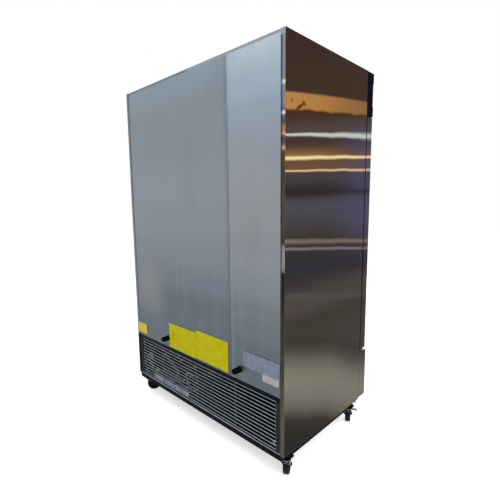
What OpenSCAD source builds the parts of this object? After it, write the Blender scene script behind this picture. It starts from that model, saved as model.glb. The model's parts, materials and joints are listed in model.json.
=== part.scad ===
// Two-door upright reach-in freezer with its machine compartment at the bottom.
// Front faces -Y, back +Y, up +Z. The origin is the middle of the footprint, on the floor.

/* [Cabinet] */
// Outer width over the side panels
cabinet_w = 1382; // [1340:2:1440]
// Depth of the side panels
cabinet_d = 757; // [740:1:800]
// Height of the machine compartment
compartment_h = 304; // [300:1:330]
// Thickness of the insulated walls and floor
wall_t = 60; // [58:1:70]
// Thickness of the insulated roof
roof_t = 65; // [60:1:80]
// Depth of the insulated panel behind the header
bulkhead_t = 60; // [50:1:70]
// Thickness of the sheet metal skins
skin_t = 1; // [0.8:0.1:1.2]
// Outer radius of the bends in the side panels
bend_r = 4; // [3:0.5:5]
// Width of the side panels' flange at the back
rear_flange_w = 26; // [22:1:32]
// Width of the side panels' flange at the front
front_flange_w = 40; // [38:1:44]
// Width of the doubled edge on the rear flange
flange_hem_w = 8; // [6:1:12]
// Width of the side panels' flange over the base rails
bottom_flange_w = 32; // [24:1:40]
// Width of the narrow back panel, measured from the side of the cabinet
narrow_back_w = 380; // [300:5:480]
// Width of the folded hem along the seam between the back panels
seam_hem_w = 11; // [8:1:16]
// Gap between the back panels at the seam
seam_gap = 2; // [1:0.5:4]
// Depth of the top panel's turned-down edges
top_edge_h = 14; // [10:1:20]

/* [Base] */
// Height of the base frame's rails
rail_h = 31; // [25:1:40]
// Width of the rails
rail_w = 40; // [36:1:50]
// Wall thickness of the rails
rail_t = 2.5; // [2:0.5:4]
// Gap from the side of the cabinet to the rails
rail_inset = 13; // [8:1:20]
// Thickness of the floor sheet over the back half of the base
base_floor_t = 1; // [0.8:0.1:1.5]
// Depth of the floor sheet from the back rail; the base is open in front of it
base_floor_d = 416; // [380:2:440]
// Height of the sill under the rear grille
sill_h = 5; // [3:1:8]
// Distance from the middle to the cross rail
cross_rail_x = 100; // [80:5:130]
// Leg width of the corner posts
post_w = 54; // [44:1:60]
// Thickness of the corner posts
post_t = 2; // [1.5:0.5:3]
// Height of the band above the rear grille
band_h = 22; // [8:1:26]

/* [Casters] */
// Height of the casters from the floor to the rails
caster_h = 119; // [117:1:126]
// Radius of the wheels
wheel_r = 50; // [46:1:51]
// Width of the tyres
tyre_w = 32; // [28:1:36]
// Horizontal distance from swivel axis to wheel axle
trail = 35; // [30:1:40]
// Radius of the axles
axle_r = 5; // [4:0.5:6]
// Running clearance on radius for every pin and axle
run_gap = 0.05; // [0.03:0.01:0.08]
// Distance from the back and front of the cabinet to the swivel axes
caster_inset_y = 58; // [54:1:70]
// Distance from the side of the cabinet to the swivel axes
caster_inset_x = 33; // [33:1:40]
// Radius of the fork crowns
crown_r = 27; // [25:1:30]
// Thickness of the fork legs
fork_t = 3; // [2.5:0.5:4]
// Gap between a wheel hub and the fork legs
hub_gap = 0.6; // [0.4:0.1:1]
// Side of the square caster plates
plate_w = 62; // [60:1:64]
// How far the brake levers' foot tabs stand out from the fork
brake_tab = 28; // [20:1:32]
// Heading of the rear left wheel from its swivel axis
yaw_rear_left = -60; // [-180:1:180]
// Heading of the front left wheel
yaw_front_left = -60; // [-180:1:180]
// Heading of the rear right wheel
yaw_rear_right = -120; // [-180:1:180]
// Heading of the front right wheel
yaw_front_right = -75; // [-180:1:180]

/* [Doors] */
// Height of the doors
door_h = 1414; // [1380:2:1440]
// Thickness of the doors without the gasket
door_t = 64; // [60:1:70]
// Gap between the doors' back and the cabinet
door_gap = 11; // [11:0.5:14]
// Gap between the two doors
door_split = 6; // [5:1:10]
// Distance from the cabinet's side to the door's edge
door_inset = 2; // [1:0.5:4]
// Height of the doors' lower edge over the machine compartment
door_rise = 23; // [22:1:26]
// Radius of the doors' front edges
door_edge_r = 6; // [4:0.5:8]
// Distance from the door's edge to the hinge axis
hinge_side = 20; // [18:1:22]
// Distance from the door's front to the hinge axis
hinge_front = 22; // [20:1:26]
// Radius of the hinge pins
pin_r = 6; // [5:0.5:7]
// Depth of the pin bores in the doors
pin_bore_h = 25; // [22:1:30]
// Thickness of the hinge brackets
bracket_t = 5; // [4:0.5:6]
// Width of the gasket
gasket_w = 16; // [14:1:17]
// Distance from the free edges of the door to the gasket
gasket_inset = 13; // [12:1:14]
// Clearance between the gasket and the cabinet
gasket_clear = 0.3; // [0.3:0.1:0.5]
// Height of the door's raised inner panel
inner_panel_h = 6; // [4:0.5:8]
// Width of the breaker strips round the openings
strip_w = 12; // [10:1:14]
// Depth of the breaker strips
strip_t = 12; // [10:1:14]
// How far the strips stand inside the liner
strip_lip = 2; // [1:0.5:3]
// Width of the centre mullion
mullion_w = 80; // [76:2:90]
// Height from the top of the opening to the top of the door
open_drop = 36; // [34:1:40]
// Length of the recessed handles
handle_h = 305; // [260:5:340]
// Width of the handle recess
handle_w = 50; // [44:1:56]
// Depth of the handle recess
handle_d = 30; // [26:1:34]
// Distance from the door's free edge to the middle of the handle
handle_x = 62; // [54:1:80]
// Radius of the lock cylinders
lock_r = 9.5; // [8:0.5:11]
// Height of the lock over the end of the handle
lock_rise = 60; // [40:5:100]

/* [Header and front panel] */
// How far the lower front panel stands in front of the cabinet
front_proj = 88; // [84:1:96]
// Height of the header
header_h = 245; // [230:1:260]
// Wall thickness of the header moulding
header_t = 3; // [2.5:0.5:4]
// How far the header's upper lip stands out
lip_proj = 75; // [72:1:78]
// How far the header's middle face stands out
recess_proj = 67; // [64:1:70]
// How far the header's lower bulge stands out
bulge_proj = 73; // [70:1:76]
// Height of the header's upper lip
lip_h = 59; // [50:1:70]
// Height of the header's lower bulge
bulge_h = 65; // [56:1:74]
// Gap between the doors and the header
header_gap = 3; // [3:0.5:5]
// Width of the display panel
display_w = 150; // [140:2:180]
// Height of the display panel
display_h = 56; // [50:2:64]
// Thickness of the display panel's face
display_t = 3; // [2.5:0.5:4]
// Radius of the control buttons
button_r = 5; // [4:0.5:6]
// Spacing of the control buttons
button_pitch = 20; // [18:1:22]
// Travel of the control buttons
button_travel = 1.2; // [0.8:0.1:1.5]
// Height of the louvred windows in the lower front panel
louvre_h = 208; // [190:2:220]
// Number of louvre blades in each window
louvre_count = 11; // [8:1:14]
// Depth of a louvre blade
louvre_d = 20; // [16:1:24]
// Thickness of the lower front panel's sheet
panel_t = 1.2; // [1:0.1:1.5]

/* [Back] */
// Length of the rear bumpers
bumper_len = 45; // [38:1:50]
// Radius of the rear bumpers
bumper_r = 16; // [14:1:20]
// Place of the right bumper across the back
bumper_right_x = 290; // [250:5:330]
// Place of the left bumper across the back
bumper_left_x = -385; // [-420:5:-350]
// Height of the bumpers over the machine compartment
bumper_rise = 61; // [50:1:80]
// Radius of the rear grille's wires
grille_r = 2.6; // [2:0.1:3.2]
// Number of level wires in the rear grille
grille_rows = 13; // [12:1:16]
// Distance from the corner posts to the grille's outer upright wires
grille_edge = 7; // [4:1:12]

/* [Interior] */
// Width of the shelf standards
standard_w = 16; // [14:1:20]
// Depth of the shelf standards
standard_d = 8; // [7:1:10]
// Sheet thickness of the standards and clips
standard_t = 1.2; // [1:0.1:1.5]
// Spacing of the slots in the standards
slot_pitch = 50; // [40:5:60]
// Radius of the shelves' frame wire
shelf_frame_r = 3; // [2.5:0.5:4]
// Radius of the shelves' thin wires
shelf_wire_r = 1.6; // [1.4:0.1:2]
// Number of thin wires in a shelf
shelf_wires = 20; // [16:1:24]
// Half the width of the evaporator housing
evap_half_w = 520; // [480:5:560]
// Depth of the evaporator housing
evap_d = 320; // [300:5:340]
// Height of the evaporator housing
evap_h = 168; // [165:1:175]
// Radius of the evaporator fans
evap_fan_r = 62; // [56:1:66]
// Place of the evaporator fans from the middle
evap_fan_x = 250; // [200:5:300]
// Radius of the drain line
drain_r = 9; // [8:0.5:11]

/* [Condensing unit] */
// Width of the tray
tray_w = 540; // [520:5:560]
// Height of the tray's edges
tray_edge_h = 20; // [16:1:24]
// Sheet thickness of the tray
tray_t = 1.5; // [1.2:0.1:2]
// Radius of the compressor shell
comp_r = 80; // [74:1:84]
// Height of the compressor shell
comp_h = 182; // [170:1:190]
// Width of the condenser coil
cond_w = 370; // [340:5:390]
// Height of the condenser coil
cond_h = 250; // [240:2:260]
// Thickness of the condenser coil
cond_t = 56; // [44:2:64]
// Radius of the condenser fan
fan_r = 104; // [96:1:108]
// Width of the electrical box
ebox_w = 70; // [60:1:80]
// Radius of the wiring loom's conduit
loom_r = 9; // [7:0.5:11]
// Radius of the suction line
suction_r = 6; // [5:0.5:8]
// Radius of the thin refrigerant lines
line_r = 4; // [3:0.5:5]

/* [Hidden] */

// Fineness of round surfaces
$fn = 40;
// Small overshoot of cutting shapes
over = 1;
// How much wider a tube's elbows are than the tube
elbow_extra = 0.5;

// Distance between two pieces that rest against each other
seat_gap = 0.3;
// Distance between the axes of two welded wires, as a share of both radii
weld_share = 1.6;
// Distance from the ends of the grille's opening to its first and last wires
grille_margin = 10;
// Places of the grille's upright wires, as shares of half its width
upright_shares = [-1, -0.535, 0.03, 0.605, 1];
// Row of the hooked wires that hold the grille, counted from both ends
hook_row = 2;
// How far the grille's wires reach behind the corner posts
post_lap = 13;

// Main planes of the cabinet
half_w = cabinet_w / 2;
panel_z = caster_h + rail_h;
box_z = panel_z + compartment_h;
door_z0 = box_z + door_rise;
door_z1 = door_z0 + door_h;
header_z0 = door_z1 + header_gap;
header_z1 = header_z0 + header_h;
top_z = header_z1 + skin_t;
side_h = top_z - panel_z;
total_d = front_proj + cabinet_d + bumper_len;
back_y = total_d / 2 - bumper_len;
face_y = back_y - cabinet_d;
front_y = -total_d / 2;
inner_back_y = back_y - 2 * skin_t;
foam_back_y = back_y - 3 * skin_t;

// Inside of the insulated box
liner_x = half_w - wall_t;
liner_y = back_y - wall_t;
floor_z = box_z + wall_t;
roof_z = top_z - roof_t;
bulkhead_y = face_y + bulkhead_t;
strip_y = face_y + strip_t;

// Doors and their openings
door_x0 = door_split / 2;
door_x1 = half_w - door_inset;
door_back_y = face_y - door_gap;
door_front_y = door_back_y - door_t;
pin_x = door_x1 - hinge_side;
pin_y = door_front_y + hinge_front;
open_z1 = door_z1 - open_drop;
bay_x0 = mullion_w / 2 + strip_lip;
bay_x1 = liner_x - strip_lip;
bay_z0 = floor_z + strip_lip;
bay_z1 = open_z1 - strip_lip;
handle_z = (door_z0 + door_z1) / 2;
lock_z = handle_z + handle_h / 2 + lock_rise;
grip_x = door_x0 + handle_x;

// Header
display_z = (header_z0 + bulge_h + header_z1 - lip_h) / 2;
recess_y = face_y - recess_proj;
display_y = recess_y - display_t;
button_spread = [-button_pitch, 0, button_pitch];
button_x0 = display_w / 2 - 2 * button_pitch;
button_flange = 1.5;
button_flange_t = 2;
button_show = 2;
button_slack = 0.3;
button_well_t = button_flange_t + button_travel + 2 * button_slack;

// Base frame
rail_x = half_w - rail_inset;
rail_y1 = back_y - 4;
rail_y0 = face_y + 5;
post_x = half_w - skin_t;

// Casters
swivel_x = half_w - caster_inset_x;
swivel_y1 = back_y - caster_inset_y;
swivel_y0 = face_y + caster_inset_y + 10;
plate_t = 3;
raceway_h = 7;
crown_gap = 0.3;
crown_t = 6;
crown_z1 = caster_h - plate_t - raceway_h - crown_gap;
crown_z0 = crown_z1 - crown_t;
king_r = 5;
king_nut_h = 3;
fork_in = tyre_w / 2 + 2;
fork_out = fork_in + fork_t;
hub_w = 2 * (fork_in - hub_gap);
washer_t = 2;
lever_t = 2.5;
lever_gap = 0.4;

// Interior
shelf_count = 3;
bay_h = open_z1 - floor_z;
shelf_z = [for (k = [1:shelf_count]) floor_z + k * bay_h / (shelf_count + 1)];
side_standard_y0 = bulkhead_y + 60;
side_standard_y1 = liner_y - 60;
centre_standard_x = standard_w / 2 + 16;
standard_z0 = floor_z + 14;
standard_z1 = open_z1 - 14;
shelf_gap = 3;
shelf_x0 = 14;
shelf_x1 = liner_x - standard_d - shelf_gap;
shelf_y0 = bulkhead_y + standard_d + shelf_gap;
shelf_y1 = liner_y - standard_d - shelf_gap;
tongue_d = 12;
tongue_t = 2;
evap_t = 1.2;
evap_shaft_r = 3;
evap_y1 = liner_y;
evap_y0 = evap_y1 - evap_d;
evap_z1 = roof_z;
evap_z0 = evap_z1 - evap_h;
evap_fan_z = evap_z0 + evap_h / 2;
evap_fan_y = evap_y0 + 26;
drain_y = liner_y - drain_r - 5;

// Condensing unit
tray_z = panel_z + tray_t;
tray_x1 = rail_x - rail_w - 8;
tray_x0 = tray_x1 - tray_w;
tray_y0 = rail_y0 + 8;
tray_y1 = rail_y1 - 14;
comp_inset = 163;
comp_x = tray_x1 - comp_inset;
comp_back = 312;
comp_y = tray_y1 - comp_back;
comp_z = tray_z + 16;
cond_inset = 240;
cond_x = tray_x1 - cond_inset;
cond_y0 = tray_y0 + 30;
cond_y1 = cond_y0 + cond_t;
cond_z0 = tray_z + 6;
fan_shaft_r = 4;
comp_stub = 10;
discharge_z = comp_z + comp_h * 0.7;
suction_z = comp_z + comp_h * 0.4;
process_x = comp_x + comp_r * 0.6;
process_z = comp_z + comp_h * 0.19;
fan_z = cond_z0 + cond_h / 2;
shroud_d = 34;
fan_y = cond_y1 + shroud_d + 16;
motor_y = fan_y + 26;
fan_motor_r = 36;
fan_motor_d = 58;
pan_h = 30;
pan_d = 80;
pan_x0 = tray_x0 + 20;
pan_x1 = tray_x1 - 90;
pan_y1 = tray_y1 - 6;
pan_y0 = pan_y1 - pan_d;
ebox_d = 170;
ebox_h = 200;
ebox_x1 = tray_x1 - 4;
ebox_x0 = ebox_x1 - ebox_w;
ebox_y1 = tray_y1 - 22;
ebox_y0 = ebox_y1 - ebox_d;
ebox_z0 = tray_z;
ebox_z1 = ebox_z0 + ebox_h;
lead_r = 3;
terminal_w = 44;
terminal_h = 50;
terminal_x = comp_x - comp_r - 14;
terminal_z = comp_z + 60;

// Colours
steel = "#b8b4ac";
galvanised = "#98a0a8";
black = "#202226";
zinc = "#b9bdc0";

// A box between two opposite corners
module block(a, b) {
    translate(a) cube(b - a);
}

// A rectangle with round corners between two opposite corners
module soft_rect(a, b, r) {
    translate([a.x, a.y + r]) square([b.x - a.x, b.y - a.y - 2 * r]);
    translate([a.x + r, a.y]) square([b.x - a.x - 2 * r, b.y - a.y]);
    for (x = [a.x + r, b.x - r], y = [a.y + r, b.y - r]) translate([x, y]) circle(r);
}

// A flat outline in X and Z, made solid from y0 to y1
module slab_y(y0, y1) {
    translate([0, y1, 0]) rotate([90, 0, 0]) linear_extrude(y1 - y0) children();
}

// A flat outline in Y and Z, made solid from x0 to x1
module slab_x(x0, x1) {
    translate([x0, 0, 0]) rotate([90, 0, 90]) linear_extrude(x1 - x0) children();
}

// A rod along Y
module rod_y(x, z, y0, y1, r) {
    translate([x, y0, z]) rotate([-90, 0, 0]) cylinder(r = r, h = y1 - y0);
}

// A rod along X
module rod_x(y, z, x0, x1, r) {
    translate([x0, y, z]) rotate([0, 90, 0]) cylinder(r = r, h = x1 - x0);
}

// A round bar from one point to another
module bar(a, b, r) {
    d = b - a;
    length = norm(d);
    translate(a) rotate([0, acos(d.z / length), atan2(d.y, d.x)]) cylinder(r = r, h = length);
}

// A bent tube through points, with a ball a little wider than the tube at each corner
module tube(points, r) {
    for (k = [0:len(points) - 2]) bar(points[k], points[k + 1], r);
    for (k = [1:len(points) - 2]) translate(points[k]) sphere(r + elbow_extra);
}

// Parts that are alike on the left and the right
module left_hand() {
    mirror([1, 0, 0]) children();
}

module both_hands() {
    children();
    left_hand() children();
}

// A flat frame in the XZ plane, open in the middle
module ring_xz(a, b, w, y0, y1) {
    difference() {
        block([a.x, y0, a.y], [b.x, y1, b.y]);
        block([a.x + w, y0 - over, a.y + w], [b.x - w, y1 + over, b.y - w]);
    }
}

// A quarter of a bend in sheet metal
module bend(at, turn) {
    translate(at) intersection() {
        difference() {
            circle(bend_r);
            circle(bend_r - skin_t);
        }
        rotate(turn) square(bend_r);
    }
}

// Outline of a side panel seen from above, with its bends, flanges and hem
module side_outline() {
    translate([half_w - skin_t, face_y + bend_r]) square([skin_t, cabinet_d - 2 * bend_r]);
    bend([half_w - bend_r, face_y + bend_r], -90);
    bend([half_w - bend_r, back_y - bend_r], 0);
    translate([half_w - front_flange_w, face_y]) square([front_flange_w - bend_r, skin_t]);
    translate([half_w - rear_flange_w, back_y - skin_t]) square([rear_flange_w - bend_r, skin_t]);
    translate([half_w - rear_flange_w, back_y - 2 * skin_t]) square([flange_hem_w, 2 * skin_t]);
}

module side_panel() {
    translate([0, 0, panel_z]) linear_extrude(side_h) side_outline();
    block(
        [half_w - bottom_flange_w, face_y + bend_r, panel_z],
        [half_w - skin_t / 2, back_y - bend_r, panel_z + skin_t]
    );
}

module left_side_panel() {
    color(steel) left_hand() side_panel();
}

module right_side_panel() {
    color(steel) side_panel();
}

// Pan with turned-down sides that closes the top
module top_panel() {
    edge_x = half_w - skin_t;
    color(steel) difference() {
        translate([0, 0, top_z - top_edge_h]) linear_extrude(top_edge_h)
            soft_rect([-edge_x, face_y + skin_t], [edge_x, inner_back_y], bend_r - skin_t);
        translate([0, 0, top_z - top_edge_h - over]) linear_extrude(top_edge_h - skin_t + over)
            soft_rect(
                [-edge_x + skin_t, face_y + 2 * skin_t],
                [edge_x - skin_t, foam_back_y],
                bend_r - 2 * skin_t
            );
    }
}

// Sheet of the back from x0 to x1, under the side panels' flanges
module back_sheet(x0, x1) {
    block([x0, foam_back_y, box_z], [x1, inner_back_y, top_z - top_edge_h]);
}

module wide_back_panel() {
    seam_x = -half_w + narrow_back_w;
    color(galvanised) {
        back_sheet(seam_x, half_w - bend_r);
        block([seam_x, inner_back_y, box_z], [seam_x + seam_hem_w, back_y, top_z - top_edge_h]);
    }
}

module narrow_back_panel() {
    seam_x = -half_w + narrow_back_w;
    bead_w = seam_hem_w / 2;
    edge = seam_x - seam_gap;
    color(galvanised) {
        back_sheet(-half_w + bend_r, edge);
        block([edge - bead_w, inner_back_y, box_z], [edge, back_y, top_z - top_edge_h]);
    }
}

// The space inside the liner, grown outward by g
module liner_space(g) {
    block([-liner_x - g, bulkhead_y - g, floor_z - g], [liner_x + g, liner_y + g, roof_z + g]);
    block([-liner_x - g, strip_y, floor_z - g], [liner_x + g, bulkhead_y, open_z1 + g]);
}

module drain_hole(r) {
    translate([0, drain_y, panel_z]) cylinder(r = r, h = floor_z - panel_z + over);
}

module cabinet_foam() {
    edge_x = half_w - skin_t;
    strip_out = strip_w - strip_lip;
    color("#d8c9a0") difference() {
        translate([0, 0, box_z + skin_t]) linear_extrude(top_z - box_z - 2 * skin_t)
            soft_rect([-edge_x, face_y + skin_t], [edge_x, foam_back_y], bend_r - skin_t);
        liner_space(skin_t);
        block(
            [-liner_x - strip_out, face_y, floor_z - strip_out],
            [liner_x + strip_out, strip_y, open_z1 + strip_out]
        );
        difference() {
            block([-half_w, face_y, top_z - top_edge_h], [half_w, back_y, top_z]);
            translate([0, 0, top_z - top_edge_h]) linear_extrude(top_edge_h)
                soft_rect(
                    [-edge_x + skin_t, face_y + 2 * skin_t],
                    [edge_x - skin_t, foam_back_y - over],
                    bend_r - 2 * skin_t
                );
        }
        drain_hole(drain_r + 2);
    }
}

module inner_liner() {
    color("#c9cdd0") difference() {
        liner_space(skin_t);
        liner_space(0);
        block([-liner_x, strip_y - over, floor_z], [liner_x, strip_y + over, open_z1]);
        drain_hole(drain_r + 2);
    }
}

module face_frame() {
    edge_x = half_w - front_flange_w;
    color(steel) difference() {
        block([-edge_x, face_y, box_z], [edge_x, face_y + skin_t, header_z1]);
        both_hands() block(
            [bay_x0 - strip_w, face_y - over, bay_z0 - strip_w],
            [bay_x1 + strip_w, face_y + skin_t + over, bay_z1 + strip_w]
        );
    }
}

// Plastic strips round both openings, and the post between them
module breaker_frame() {
    post_half = mullion_w / 2;
    color("#d5d8da") {
        both_hands() ring_xz(
            [bay_x0 - strip_w, bay_z0 - strip_w],
            [bay_x1 + strip_w, bay_z1 + strip_w],
            strip_w, face_y, strip_y
        );
        block(
            [-bay_x0 + strip_w, face_y + skin_t, bay_z0],
            [bay_x0 - strip_w, strip_y, bay_z1]
        );
        block([-post_half, strip_y, floor_z], [post_half, bulkhead_y, open_z1]);
    }
}

// Underside of the insulated box with the band over the grille, and the four corner posts
module compartment_frame() {
    edge_x = half_w - skin_t;
    color(galvanised) {
        difference() {
            translate([0, 0, box_z]) linear_extrude(skin_t)
                soft_rect([-edge_x, face_y + skin_t], [edge_x, foam_back_y], bend_r - skin_t);
            drain_hole(drain_r + 2);
        }
        block(
            [-half_w + rear_flange_w, foam_back_y - 2 * skin_t, box_z - band_h],
            [half_w - rear_flange_w, foam_back_y, box_z]
        );
        block(
            [-half_w + post_w - over, rail_y1 - post_t, panel_z],
            [half_w - post_w + over, rail_y1, panel_z + sill_h]
        );
        both_hands() {
            corner_post(rail_y1 - post_t, rail_y1 - post_w, rail_y1);
            corner_post(rail_y0 + 2, rail_y0 + 2, rail_y0 + 2 + post_w);
        }
    }
}

// Angle post with one leg against the side panel and one leg at y_leg
module corner_post(y_leg, y0, y1) {
    block([post_x - post_t, y0, panel_z + skin_t], [post_x, y1, box_z]);
    block([half_w - post_w, y_leg, panel_z + skin_t], [post_x, y_leg + post_t, box_z]);
}

// Channel rail along X, open underneath
module rail_along_x(x0, x1, y0, y1) {
    difference() {
        block([x0, y0, caster_h], [x1, y1, panel_z]);
        block([x0 - over, y0 + rail_t, caster_h - over], [x1 + over, y1 - rail_t, panel_z - rail_t]);
    }
}

// Channel rail along Y, open underneath
module rail_along_y(x0, x1, y0, y1) {
    difference() {
        block([x0, y0, caster_h], [x1, y1, panel_z]);
        block([x0 + rail_t, y0 - over, caster_h - over], [x1 - rail_t, y1 + over, panel_z - rail_t]);
    }
}

module base_frame() {
    pad_half = plate_w / 2;
    color(black) {
        rail_along_x(-rail_x, rail_x, rail_y1 - rail_w, rail_y1);
        rail_along_x(-rail_x, rail_x, rail_y0, rail_y0 + rail_w);
        rail_along_y(cross_rail_x, cross_rail_x + rail_w, rail_y0 + rail_w, rail_y1 - rail_w);
        both_hands() rail_along_y(rail_x - rail_w, rail_x, rail_y0 + rail_w, rail_y1 - rail_w);
        block([-rail_x, rail_y1 - base_floor_d, panel_z - base_floor_t], [rail_x, rail_y1, panel_z]);
        both_hands() for (y = [swivel_y0, swivel_y1]) block(
            [swivel_x - pad_half, y - pad_half, caster_h],
            [min(swivel_x + pad_half, rail_x), y + pad_half, caster_h + rail_t]
        );
    }
}

// Section of the header, drawn in by g all round
module header_section(g) {
    lip_r = 8;
    bulge_r = 14;
    translate([face_y - recess_proj + g, header_z0 + g])
        square([recess_proj - g + (g > 0 ? over : 0), header_z1 - header_z0 - 2 * g]);
    soft_rect(
        [face_y - lip_proj + g, header_z1 - lip_h + g],
        [face_y - lip_r, header_z1 - g], lip_r - g
    );
    soft_rect(
        [face_y - bulge_proj + g, header_z0 + g],
        [face_y - bulge_r, header_z0 + bulge_h - g], bulge_r - g
    );
}

module header_cover() {
    cut_w = display_w - 20;
    cut_h = display_h - 14;
    edge_cut = 1.5;
    color(black) difference() {
        slab_x(-half_w, half_w) header_section(0);
        slab_x(-half_w + header_t, half_w - header_t) header_section(header_t);
        block(
            [-cut_w / 2, recess_y - over, display_z - cut_h / 2],
            [cut_w / 2, recess_y + header_t + over, display_z + cut_h / 2]
        );
        both_hands() translate([pin_x, pin_y, header_z0 - over])
            cylinder(r = 2 * pin_r + 2, h = header_t + 2 * over);
        both_hands() translate([half_w, face_y - lip_proj, header_z0 - over]) rotate(45)
            translate([-edge_cut, -edge_cut, 0]) cube([2 * edge_cut, 2 * edge_cut, header_h + 2 * over]);
    }
}

// Face plate and rear housing of the controller, with a well behind each button
module display_module() {
    box_w = display_w - 21;
    box_h = display_h - 15;
    box_d = 26;
    window_w = 56;
    window_h = 26;
    color("#15171a") difference() {
        union() {
            slab_y(display_y, recess_y) soft_rect(
                [-display_w / 2, display_z - display_h / 2],
                [display_w / 2, display_z + display_h / 2], 6
            );
            block(
                [-box_w / 2, recess_y, display_z - box_h / 2],
                [box_w / 2, recess_y + box_d, display_z + box_h / 2]
            );
        }
        block(
            [-display_w / 2 + 16, display_y - over, display_z - window_h / 2],
            [-display_w / 2 + 16 + window_w, display_y + 1.5, display_z + window_h / 2]
        );
        for (dx = button_spread) {
            rod_y(button_x0 + dx, display_z, display_y - over, recess_y + over, button_r + button_slack);
            rod_y(
                button_x0 + dx, display_z, recess_y, recess_y + button_well_t,
                button_r + button_flange + button_slack
            );
        }
    }
}

// Push button with the flange that keeps it in its well
module button(k) {
    x = button_x0 + button_spread[k];
    flange_y = recess_y + button_slack;
    color("#c8ccd0") {
        rod_y(x, display_z, display_y - button_show, flange_y + button_flange_t, button_r);
        rod_y(x, display_z, flange_y, flange_y + button_flange_t, button_r + button_flange);
    }
}

module button_up() {
    button(0);
}

module button_down() {
    button(1);
}

module button_set() {
    button(2);
}

// Lower front panel: a shallow box with two louvred windows
module front_panel() {
    edge_r = 5;
    x1 = half_w - 2;
    z0 = panel_z + 5.5;
    z1 = box_z + 2;
    back = face_y - 0.5;
    window_x0 = 44;
    window_x1 = x1 - 60;
    window_z0 = (z0 + z1 - louvre_h) / 2;
    pitch = louvre_h / louvre_count;
    color(steel) {
        difference() {
            intersection() {
                translate([0, 0, z0]) linear_extrude(z1 - z0)
                    soft_rect([-x1, front_y], [x1, back + edge_r], edge_r);
                slab_x(-x1, x1) soft_rect([front_y, z0], [back + edge_r, z1], edge_r);
                block([-x1, front_y, z0], [x1, back, z1]);
            }
            translate([0, 0, z0 + panel_t]) linear_extrude(z1 - z0 - 2 * panel_t)
                soft_rect([-x1 + panel_t, front_y + panel_t], [x1 - panel_t, back + edge_r + over], edge_r);
            both_hands() block(
                [window_x0, front_y - over, window_z0],
                [window_x1, front_y + 2 * edge_r, window_z0 + louvre_h]
            );
        }
        both_hands() {
            for (k = [0:louvre_count - 1])
                translate([window_x0 - over, front_y + panel_t / 2, window_z0 + (k + 0.9) * pitch])
                    rotate([-52, 0, 0]) cube([window_x1 - window_x0 + 2 * over, louvre_d, panel_t]);
            for (x = [window_x0, (window_x0 + window_x1) / 2, window_x1]) block(
                [x - over, front_y + panel_t / 2, window_z0 - over],
                [x + over, front_y + louvre_d * 0.6, window_z0 + louvre_h + over]
            );
        }
    }
}

// Wire guard over the back of the machine compartment, behind the legs of the corner posts
module rear_grille() {
    edge_x = half_w - post_w - grille_edge - grille_r;
    wire_x = edge_x + 2 * grille_r;
    hook_x = half_w - post_w + post_lap;
    hook_rows = [hook_row, grille_rows - 1 - hook_row];
    row_z0 = panel_z + sill_h + grille_margin;
    row_z1 = box_z - band_h - grille_margin;
    row_pitch = (row_z1 - row_z0) / (grille_rows - 1);
    wire_y = rail_y1 - post_t - seat_gap - grille_r;
    upright_y = wire_y - weld_share * grille_r;
    color("#aeb4bb") {
        for (k = [0:grille_rows - 1])
            rod_x(wire_y, row_z0 + k * row_pitch, -wire_x, wire_x, grille_r);
        for (k = hook_rows) both_hands()
            rod_x(wire_y, row_z0 + k * row_pitch, edge_x, hook_x, grille_r);
        for (share = upright_shares)
            rod_along_z(share * edge_x, upright_y, panel_z, box_z, grille_r);
    }
}

// Outline of a bumper: foot, body and hollow end with a screw hole
module bumper_outline() {
    foot_t = 5;
    hollow_r = bumper_r - 6;
    difference() {
        union() {
            square([bumper_r + 2, foot_t]);
            square([bumper_r, bumper_len - 3]);
            square([bumper_r - 3, bumper_len]);
            translate([bumper_r - 3, bumper_len - 3]) circle(3);
        }
        translate([0, bumper_len - 6]) square([hollow_r, 6 + over]);
        translate([-bumper_len, -over]) square([bumper_len, bumper_len + 2 * over]);
        square([2.5, bumper_len]);
    }
}

module rear_bumpers() {
    z = box_z + bumper_rise;
    gap = 2 * skin_t;
    color(black) for (x = [bumper_left_x, bumper_right_x])
        translate([x, back_y, z]) rotate([-90, 0, 0]) {
            rotate_extrude() bumper_outline();
            translate([0, 0, -gap]) cylinder(r = bumper_r - 4, h = gap + 4);
        }
}

// A door's outer form, drawn in by g
module door_form(g) {
    intersection() {
        translate([0, 0, door_z0 + g]) linear_extrude(door_h - 2 * g) soft_rect(
            [door_x0 + g, door_front_y + g],
            [door_x1 - g, door_back_y + 2 * door_edge_r], door_edge_r - g
        );
        slab_x(door_x0 + g, door_x1 - g) soft_rect(
            [door_front_y + g, door_z0 + g],
            [door_back_y + 2 * door_edge_r, door_z1 - g], door_edge_r - g
        );
        block([door_x0, door_front_y, door_z0], [door_x1, door_back_y, door_z1]);
    }
}

// Recess for the handle, grown by g
module handle_recess(g) {
    half_x = handle_w / 2 + g;
    half_z = handle_h / 2 + g;
    slab_y(door_front_y - over, door_front_y + handle_d + g) soft_rect(
        [grip_x - half_x, handle_z - half_z], [grip_x + half_x, handle_z + half_z], 10 + g
    );
}

module pin_holes(r, depth) {
    for (z = [door_z0 - over, door_z1 - depth])
        translate([pin_x, pin_y, z]) cylinder(r = r, h = depth + over);
}

// Folded steel skin of a door, open at its back
module door_skin() {
    color(steel) difference() {
        door_form(0);
        intersection() {
            door_form(skin_t);
            block([0, door_front_y, door_z0], [half_w, door_back_y + over, door_z1]);
        }
        handle_recess(0);
        rod_y(grip_x, lock_z, door_front_y - over, door_back_y, lock_r + run_gap);
        pin_holes(pin_r + 3, 2 * door_edge_r);
    }
}

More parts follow.
